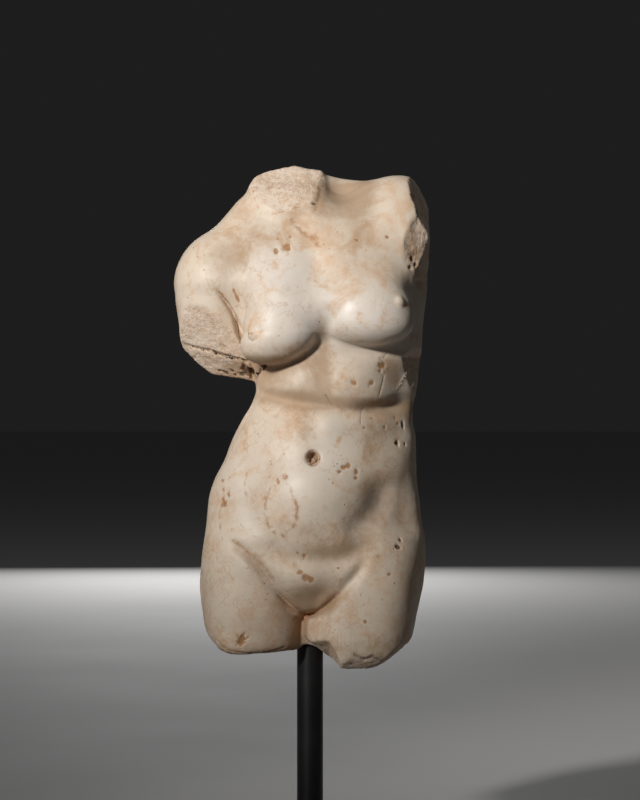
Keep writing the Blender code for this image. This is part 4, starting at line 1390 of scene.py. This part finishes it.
    def build(self) -> bpy.types.Object:
        """Meshes the stone, thins the mesh and writes the marks on its points.

        Returns:
            The finished piece, still without a material.
        """
        points, quads = self.mesher.build(self.distance)
        piece = new_piece("carved_torso", points, quads)
        thin_out(piece, self.triangles)
        mesh = piece.data
        flat = np.empty(len(mesh.vertices) * 3, np.float32)
        mesh.vertices.foreach_get("co", flat)
        points = flat.reshape(-1, 3) / MM
        mesh.vertex_normals.foreach_get("vector", flat)
        for name, share in self.marks(points, flat.reshape(-1, 3)).items():
            layer = mesh.attributes.new(name, "FLOAT", "POINT")
            layer.data.foreach_set("value", share.astype(np.float32))
        return piece


# ---- the mount -----------------------------------------------------------------------
def rounded(corner: Spot, inward: tuple[int, int], radius: float, steps: int = 5) -> list[Spot]:
    """A quarter circle in place of a square corner of a profile.

    Args:
        corner: the corner, as (outwards, up).
        inward: the signs of the directions towards the middle of the solid.
        radius: the radius of the quarter circle.
        steps: how many pieces the arc has.

    Returns:
        Points centre + radius (cos a, sin a) turned to face the corner.
    """
    turn = [0.5 * math.pi * k / steps for k in range(steps + 1)]
    centre = (corner[0] + inward[0] * radius, corner[1] + inward[1] * radius)
    return [(centre[0] - inward[0] * radius * math.sin(a),
             centre[1] - inward[1] * radius * math.cos(a)) for a in turn]


def carried(profile: Sequence[Spot], outline: Callable[[float], Array]) -> tuple[Array, Faces]:
    """A closed solid: an outline drawn at each step of a profile, capped at both ends.

    Args:
        profile: steps from the bottom up, as (outwards, up).
        outline: the ring of points for a given reach outwards.

    Returns:
        The points and the faces.
    """
    rings = [outline(reach) for reach, _ in profile]
    count = len(rings[0])
    points = np.concatenate([np.column_stack([ring, np.full(count, up)])
                             for ring, (_, up) in zip(rings, profile)])
    i = np.arange(count)
    j = (i + 1) % count
    sides = [np.stack([k * count + i, k * count + j, (k + 1) * count + j, (k + 1) * count + i], 1)
             for k in range(len(rings) - 1)]
    ends = [i[::-1], i + (len(rings) - 1) * count]
    return points, [*np.concatenate(sides), *ends]


@dataclass(frozen=True)
class Post:
    """The round steel post, from the plate up into the marble."""

    low: Point                  # the corners of its solid
    high: Point
    edge: float = 1.2
    sides: int = 96
    bands: int = 12
    to_band: float = 4.0        # from each end to the nearest band
    rim: float = 3.0            # how far in the flat ends' own rings lie

    def build(self) -> bpy.types.Object:
        """A circle carried up a profile whose two corners are rounded.

        Returns:
            The finished piece, still without a material.
        """
        radius, foot, top = self.high[0], self.low[2], self.high[2]
        bands = np.linspace(foot + self.to_band, top - self.to_band, self.bands)
        profile = [(radius - self.rim, foot)] + rounded((radius, foot), (-1, 1), self.edge)
        profile += [(radius, up) for up in bands]
        profile += rounded((radius, top), (-1, -1), self.edge)[::-1]
        profile += [(radius - self.rim, top)]
        turn = np.linspace(0.0, 2.0 * math.pi, self.sides, endpoint=False)
        ring = np.column_stack([np.cos(turn), np.sin(turn)])
        return new_piece("round_post", *carried(profile, lambda reach: reach * ring))


@dataclass(frozen=True)
class Plate:
    """The square steel plate the post stands on."""

    low: Point                  # the corners of its solid
    high: Point
    corner: float = 2.5
    corner_points: int = 9
    edge: float = 1.5
    rim: float = 5.0            # how far in the flat faces' own rings lie

    def outline(self, reach: float) -> Array:
        """A square whose corners are quarter circles: one corner, turned four times.

        Args:
            reach: half the square's side.

        Returns:
            The points of the ring.
        """
        turn = np.linspace(0.0, 0.5 * math.pi, self.corner_points)
        arc = np.column_stack([np.cos(turn), np.sin(turn)]) * self.corner
        middle = reach - self.corner
        turns = ((1, 0), (0, 1), (-1, 0), (0, -1))
        return np.concatenate([(arc + middle) @ np.array(((c, s), (-s, c))) for c, s in turns])

    def build(self) -> bpy.types.Object:
        """The rounded square carried up a profile whose two edges are rounded.

        Returns:
            The finished piece, still without a material.
        """
        half, under, top = self.high[0], self.low[2], self.high[2]
        profile = [(half - self.rim, under)] + rounded((half, under), (-1, 1), self.edge)
        profile += rounded((half, top), (-1, -1), self.edge)[::-1]
        profile += [(half - self.rim, top)]
        return new_piece("square_plate", *carried(profile, self.outline))


# ---- finishes ------------------------------------------------------------------------
Number = Union[float, "Wire"]


class Wire:
    """A value that runs through a material's nodes and takes sums like a number."""

    def __init__(self, graph: "Graph", socket: bpy.types.NodeSocket) -> None:
        """Keeps the socket the value comes out of and the graph that it belongs to."""
        self.graph, self.socket = graph, socket

    def sum(self, operation: str, a: Number, b: Number) -> "Wire":
        """A Math node on two values."""
        node = self.graph.node("ShaderNodeMath", {"operation": operation}, {0: a, 1: b})
        return Wire(self.graph, node.outputs[0])

    def __add__(self, other: Number) -> "Wire":
        """self + other"""
        return self.sum("ADD", self, other)

    def __radd__(self, other: Number) -> "Wire":
        """other + self"""
        return self.sum("ADD", other, self)

    def __sub__(self, other: Number) -> "Wire":
        """self - other"""
        return self.sum("SUBTRACT", self, other)

    def __rsub__(self, other: Number) -> "Wire":
        """other - self"""
        return self.sum("SUBTRACT", other, self)

    def __mul__(self, other: Number) -> "Wire":
        """self * other"""
        return self.sum("MULTIPLY", self, other)

    def __rmul__(self, other: Number) -> "Wire":
        """other * self"""
        return self.sum("MULTIPLY", other, self)

    def __abs__(self) -> "Wire":
        """abs(self)"""
        return self.sum("ABSOLUTE", self, 0.0)

    def ramp(self, low: float, high: float, top: float = 1.0) -> "Wire":
        """An S curve: 0 at low, top at high (low may be the larger).

        Args:
            low: where the curve leaves 0.
            high: where it reaches its top.
            top: how high that is.

        Returns:
            The graded value.
        """
        sockets = {0: self, 1: low, 2: high, 3: 0.0, 4: top}
        if low > high:
            sockets = {0: self, 1: high, 2: low, 3: top, 4: 0.0}
        node = self.graph.node("ShaderNodeMapRange", {"interpolation_type": "SMOOTHSTEP"}, sockets)
        return Wire(self.graph, node.outputs[0])


class Graph:
    """The nodes of one material."""

    def __init__(self, name: str, **constants: Any) -> None:
        """Starts a material with one Principled shader.

        Args:
            name: the material's name.
            constants: values set on the shader's own sockets, named with _ for spaces.
        """
        self.material = bpy.data.materials.new(name)
        self.material.use_nodes = True
        self.tree = self.material.node_tree
        self.shader = self.tree.nodes["Principled BSDF"]
        for name, value in constants.items():
            socket = name.replace("_", " ").title().replace("Ior", "IOR")
            self.shader.inputs[socket].default_value = value
        self.place = self.node("ShaderNodeTexCoord").outputs["Object"]

    def node(self, kind: str, settings: Union[dict[str, Any], None] = None,
             sockets: Union[dict[Any, Any], None] = None) -> bpy.types.Node:
        """A node with its settings set first and its sockets filled or linked after.

        Args:
            kind: the node's type.
            settings: its own properties.
            sockets: values, wires or sockets for its inputs, by name or number.

        Returns:
            The node.
        """
        node = self.tree.nodes.new(kind)
        for name, value in (settings or {}).items():
            setattr(node, name, value)
        for key, value in (sockets or {}).items():
            self.feed(node.inputs[key], value)
        return node

    def feed(self, socket: bpy.types.NodeSocket, value: Any) -> None:
        """Links a wire or a socket to an input, or sets a plain value on it.

        Args:
            socket: the input.
            value: a wire, a socket, a number or a colour.
        """
        if isinstance(value, Wire):
            value = value.socket
        if isinstance(value, bpy.types.NodeSocket):
            self.tree.links.new(value, socket)
        elif socket.type == "RGBA" and len(value) == 3:
            socket.default_value = (*value, 1.0)
        else:
            socket.default_value = value

    def noise(self, size: float, detail: float = 3.0, roughness: float = 0.55,
              twist: float = 0.0) -> Wire:
        """Cloudy noise about 0.5.

        Args:
            size: how many millimetres its largest clouds are across.
            detail: how many finer sizes are laid over them.
            roughness: how strong each finer size is.
            twist: how far the clouds are wrung.

        Returns:
            The noise.
        """
        node = self.node("ShaderNodeTexNoise", {}, {
            "Vector": self.place, "Scale": 1.0 / (size * MM), "Detail": detail,
            "Roughness": roughness, "Distortion": twist})
        return Wire(self, node.outputs[0])

    def cells(self, size: float) -> Wire:
        """The distance to the nearest of scattered points, in units of their spacing."""
        sockets = {"Vector": self.place, "Scale": 1.0 / (size * MM)}
        return Wire(self, self.node("ShaderNodeTexVoronoi", {}, sockets).outputs[0])

    def mark(self, name: str) -> Wire:
        """A share written on the points of the mesh."""
        node = self.node("ShaderNodeAttribute", {"attribute_name": name})
        return Wire(self, node.outputs["Fac"])

    def mix(self, share: Number, a: Any, b: Any) -> bpy.types.NodeSocket:
        """One colour into another by a share."""
        return self.node("ShaderNodeMix", {"data_type": "RGBA"}, {0: share, 6: a, 7: b}).outputs[2]

    def finish(self, colour: Any, roughness: Number, height: Wire, deep: float) -> bpy.types.Material:
        """Joins the colour, roughness and relief to the shader.

        Args:
            colour: the colour's socket.
            roughness: the roughness.
            height: the relief, from 0 to about 1.
            deep: how many millimetres one unit of relief stands for.

        Returns:
            The material.
        """
        bump = self.node("ShaderNodeBump", {}, {"Height": height, "Distance": deep * MM})
        self.feed(self.shader.inputs["Base Color"], colour)
        self.feed(self.shader.inputs["Roughness"], roughness)
        self.feed(self.shader.inputs["Normal"], bump.outputs[0])
        return self.material


@dataclass(frozen=True)
class MarbleFinish:
    """White marble that has lain in the ground: cream skin with warm clouds, brown stains together
    with painted shade in its hollows, creases and shadowed places, roots' traces, pits full of earth,
    and granular tan breaks."""

    pure: Point = (0.850, 0.765, 0.675)
    cream: Point = (0.810, 0.675, 0.530)
    tan: Point = (0.760, 0.540, 0.370)
    ochre: Point = (0.690, 0.430, 0.245)
    film: Point = (0.605, 0.470, 0.360)     # dull and thin, over the skin
    stain_and_shade: Point = (0.450, 0.290, 0.170)     # brown stain, also used as painted shade in hollows, creases and shadowed places
    trace: Point = (0.500, 0.250, 0.105)    # of roots; also tints tight corners, partly as painted shade
    # dark earth, also the colour of the painted shade lines
    earth: Point = (0.115, 0.062, 0.033)
    break_pale: Point = (0.950, 0.780, 0.630)
    break_dark: Point = (0.790, 0.570, 0.400)
    specular: float = 0.38
    polish: float = 0.47                # the skin's roughness before the marks change it
    deep: float = 0.55                  # millimetres that one unit of relief stands for
    # noises: size in millimetres, detail, roughness, twist
    clouds: Noise = (85.0, 5.0, 0.60, 0.5)
    blotches: Noise = (22.0, 6.0, 0.66, 0.8)
    specks: Noise = (5.0, 5.0, 0.68)
    sugars: Noise = (1.3, 3.0, 0.70)
    ochre_areas: Noise = (70.0, 3.0)
    films: Noise = (48.0, 5.0, 0.62, 1.0)
    threads: Noise = (30.0, 6.0, 0.64, 1.2)
    thread_areas: Noise = (55.0,)
    fleck_areas: Noise = (40.0,)
    fleck_gap: float = 7.0
    # S curves: where they leave nought, where they are full, and how full
    tanned: Grade = (0.46, 0.60)
    mottled: Grade = (0.53, 0.68, 0.50)
    ochred: Grade = (0.42, 0.60)
    filmed: Grade = (0.52, 0.70, 0.35)
    threaded: Grade = (0.020, 0.0)
    thread_area: Grade = (0.44, 0.60)
    stain_and_shade_curve: Grade = (0.12, 0.95, 0.72)
    sunken: Grade = (0.30, 1.0, 0.62)
    cornered: Grade = (0.30, 0.95, 0.80)
    patched: Grade = (0.44, 0.58)
    pitted: Grade = (0.57, 0.92, 0.80)
    torn: Grade = (0.25, 0.75)
    grimed: Grade = (0.46, 0.64, 0.50)
    rooted: Grade = (0.24, 0.78, 0.90)
    flecked: Grade = (0.12, 0.05)
    fleck_area: Grade = (0.46, 0.58)
    earth_and_shade_curve: Grade = (0.20, 0.62)

    def material(self) -> bpy.types.Material:
        """Lays the tones over each other by noise and by the marks on the mesh.

        Returns:
            The material.
        """
        g = Graph("aged_marble", specular_ior_level=self.specular)
        cloud, blotch = g.noise(*self.clouds), g.noise(*self.blotches)
        speck, sugar = g.noise(*self.specks), g.noise(*self.sugars)
        broken, nook, hollow, earth, root, stain_and_shade, clean = (g.mark(name) for name in MARKS)

        # the skin: cream, cleaner where hands touched it, under tan, ochre and dull film
        tanned = (0.35 * cloud + 0.45 * blotch + 0.20 * speck - 0.08 * clean).ramp(*self.tanned)
        skin = g.mix(tanned, g.mix(clean, self.cream, self.pure), self.tan)
        mottle = (0.65 * blotch + 0.35 * speck).ramp(*self.mottled)
        skin = g.mix(mottle * g.noise(*self.ochre_areas).ramp(*self.ochred), skin, self.ochre)
        skin = g.mix(g.noise(*self.films).ramp(*self.filmed), skin, self.film)
        thread = abs(g.noise(*self.threads) - 0.5).ramp(*self.threaded)
        thread = thread * g.noise(*self.thread_areas).ramp(*self.thread_area)
        skin = g.mix(0.34 * thread, skin, self.trace)
        # brown stain and painted shade from the marked places
        stain_and_shade_share = (stain_and_shade + 0.9 * (blotch - 0.5) + 0.5 * (speck - 0.5)).ramp(*self.stain_and_shade_curve)
        skin = g.mix(stain_and_shade_share, skin, self.stain_and_shade)
        # hollows darkened: partly brown soil staining, partly painted shade
        skin = g.mix((hollow + 0.6 * (blotch - 0.5)).ramp(*self.sunken), skin, self.stain_and_shade)
        # tight corners tinted root-brown: partly staining, partly painted shade
        skin = g.mix((nook + 0.5 * (speck - 0.5)).ramp(*self.cornered), skin, self.trace)

        # the breaks: pale and tan crystals with dirt between them
        patch = (0.32 * blotch + 0.38 * speck + 0.30 * sugar).ramp(*self.patched)
        bare = g.mix(patch, self.break_pale, self.break_dark)
        # the breaks take the same stain and painted shade, and dirt between the crystals, darker in
        # corners partly as painted shade
        bare = g.mix(stain_and_shade_share, bare, self.stain_and_shade)
        bare = g.mix((0.6 * sugar + 0.5 * speck + 0.8 * nook).ramp(*self.pitted), bare, self.stain_and_shade)
        torn = (broken + 0.25 * (sugar - 0.5)).ramp(*self.torn)
        colour = g.mix(torn, skin, bare)

        # on both: roots' traces, small brown flecks, and earth in the pits together with lines of
        # painted shade
        grimy = g.mix(sugar.ramp(*self.grimed), self.trace, self.earth)
        colour = g.mix((root + 1.2 * (speck - 0.5)).ramp(*self.rooted), colour, grimy)
        fleck = g.cells(self.fleck_gap).ramp(*self.flecked)
        fleck = fleck * g.noise(*self.fleck_areas).ramp(*self.fleck_area)
        colour = g.mix(0.65 * fleck, colour, self.trace)
        # earth and painted shade, close to black
        held = (earth + 0.6 * (sugar - 0.5)).ramp(*self.earth_and_shade_curve)
        colour = g.mix(0.85 * held, colour, self.earth)

        rough = self.polish + 0.30 * (blotch - 0.40) + 0.40 * torn + 0.25 * stain_and_shade_share
        rough = rough + 0.3 * held - 0.10 * clean
        crystal = (sugar - 0.5) * (0.15 + 0.70 * torn) + (speck - 0.5) * (0.14 + 0.8 * torn)
        return g.finish(colour, rough, 0.5 + crystal - 0.5 * fleck - 0.25 * held, self.deep)


@dataclass(frozen=True)
class BlackFinish:
    """Satin black paint on steel, faintly dusty in places."""

    paint: Point = (0.011, 0.011, 0.012)
    dusty: Point = (0.030, 0.029, 0.028)
    satin: float = 0.33         # the paint's roughness before it drifts
    lacquer: float = 0.1
    lacquer_roughness: float = 0.25
    drifts: Noise = (40.0, 3.0)
    stipples: Noise = (1.1, 2.0)
    dusted: Grade = (0.45, 0.75, 0.5)
    deep: float = 0.05

    def material(self, name: str) -> bpy.types.Material:
        """Paint whose colour and gloss drift a little, with an even fine stipple.

        Args:
            name: the material's name.

        Returns:
            The material.
        """
        g = Graph(name, coat_weight=self.lacquer, coat_roughness=self.lacquer_roughness)
        drift, stipple = g.noise(*self.drifts), g.noise(*self.stipples)
        colour = g.mix(drift.ramp(*self.dusted), self.paint, self.dusty)
        rough = self.satin + 0.16 * drift + 0.05 * stipple
        return g.finish(colour, rough, 0.8 * stipple + 0.2 * drift, self.deep)


@dataclass(frozen=True)
class FloorFinish:
    """Plain pale paint."""

    pale: Point = (0.80, 0.79, 0.78)
    darker: float = 0.97
    matt: float = 0.7
    drifts: Noise = (400.0, 2.0)
    deep: float = 0.1

    def material(self) -> bpy.types.Material:
        """Even paint with the slightest drift in it.

        Returns:
            The material.
        """
        g = Graph("pale_floor")
        drift = g.noise(*self.drifts)
        dark = tuple(self.darker * c for c in self.pale)
        return g.finish(g.mix(drift, self.pale, dark), self.matt + 0.1 * drift, drift, self.deep)


# ---- the studio ----------------------------------------------------------------------
@dataclass(frozen=True)
class Lamp:
    """A soft light aimed at a place on the figure, its beam narrow if it is a spot;
    lengths are metres and the beam is in degrees."""

    name: str
    place: Point
    watts: float
    size: float
    target: Point
    beam: float = 0.0
    tint: Point = (1.0, 1.0, 1.0)


@dataclass(frozen=True)
class Studio:
    """Floor, air, lights and camera; lengths are metres."""

    middle: Point = (0.0077, 0.0, 0.3556)
    away: float = 2.2
    tall: float = 0.616
    film: float = 36.0
    floor_side: float = 60.0
    air: Point = (0.50, 0.50, 0.505)
    air_strength: float = 0.025
    lamps: tuple[Lamp, ...] = (
        Lamp("key_light", (-1.72, -2.55, 1.45), 410.0, 0.16, (0.0, 0.0, 0.515), 17.0,
             (1.0, 0.985, 0.965)),
        Lamp("overhead_light", (0.0, 0.3, 4.2), 13.0, 4.0, (0.0, 0.0, 0.0)),
        Lamp("back_light", (-0.2, 3.8, 0.8), 14.0, 0.8, (0.0, 0.0, 0.35)),
    )

    def floor(self) -> bpy.types.Object:
        """A flat square at the height the plate stands on.

        Returns:
            The floor, still without a material.
        """
        half = 0.5 * self.floor_side / MM
        signs = np.array(((-1, -1, 0), (1, -1, 0), (1, 1, 0), (-1, 1, 0)))
        return new_piece("studio_floor", half * signs, np.array(((0, 1, 2, 3),)))

    def light(self) -> None:
        """Hangs the lamps, each turned towards the middle of the figure, and sets the air."""
        for lamp in self.lamps:
            data = bpy.data.lights.new(lamp.name, "SPOT" if lamp.beam else "AREA")
            data.energy, data.color = lamp.watts, lamp.tint
            if lamp.beam:
                data.shadow_soft_size = lamp.size
                data.spot_size, data.spot_blend = math.radians(lamp.beam), 1.0
            else:
                data.size = lamp.size
            self.aim(bpy.data.objects.new(lamp.name, data), lamp.place, lamp.target)
        world = bpy.data.worlds.new("studio_air")
        world.use_nodes = True
        sky = world.node_tree.nodes["Background"]
        sky.inputs[0].default_value = (*self.air, 1.0)
        sky.inputs[1].default_value = self.air_strength
        bpy.context.scene.world = world
        bpy.context.scene.view_settings.view_transform = "Standard"

    def aim(self, thing: bpy.types.Object, place: Point, target: Point) -> bpy.types.Object:
        """Puts a lamp or camera in its place and turns it towards its target.

        Args:
            thing: the lamp or camera.
            place: where it stands.
            target: what it looks at.

        Returns:
            The same thing.
        """
        bpy.context.scene.collection.objects.link(thing)
        thing.location = place
        towards = Vector(target) - Vector(place)
        thing.rotation_euler = towards.to_track_quat("-Z", "Y").to_euler()
        return thing

    def camera(self) -> None:
        """A long lens level with the figure's waist: focal length = film x away / tall."""
        lens = bpy.data.cameras.new("camera")
        lens.sensor_fit = "AUTO"
        lens.sensor_width = self.film
        lens.lens = self.film * self.away / self.tall
        place = (self.middle[0], self.middle[1] - self.away, self.middle[2])
        camera = bpy.data.objects.new("camera", lens)
        bpy.context.scene.camera = self.aim(camera, place, self.middle)


def show(piece: bpy.types.Object, node: str, finish: bpy.types.Material) -> None:
    """Gives a piece its material, says what it stands for, and reports it.

    Args:
        piece: the finished piece.
        node: the solid it stands for.
        finish: its material.
    """
    piece.data.materials.clear()
    piece.data.materials.append(finish)
    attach(piece, "root")
    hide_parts(node)
    LOG.info("%s: %d faces for %s", piece.name, len(piece.data.polygons), node)


def main() -> None:
    """Builds the marble, the post, the plate and the studio."""
    logging.basicConfig(level=logging.INFO, format="%(name)s: %(message)s")
    post, plate = Post(*extent("support_post")), Plate(*extent("base_plate"))
    show(Torso(post.high).build(), "marble_torso", MarbleFinish().material())
    black = BlackFinish()
    show(post.build(), "support_post", black.material("post_black"))
    show(plate.build(), "base_plate", black.material("plate_black"))
    studio = Studio()
    floor = studio.floor()
    floor.data.materials.append(FloorFinish().material())
    studio.light()
    studio.camera()
    LOG.info("studio: floor, %d lamps and camera", len(studio.lamps))


if __name__ == "__main__":
    main()
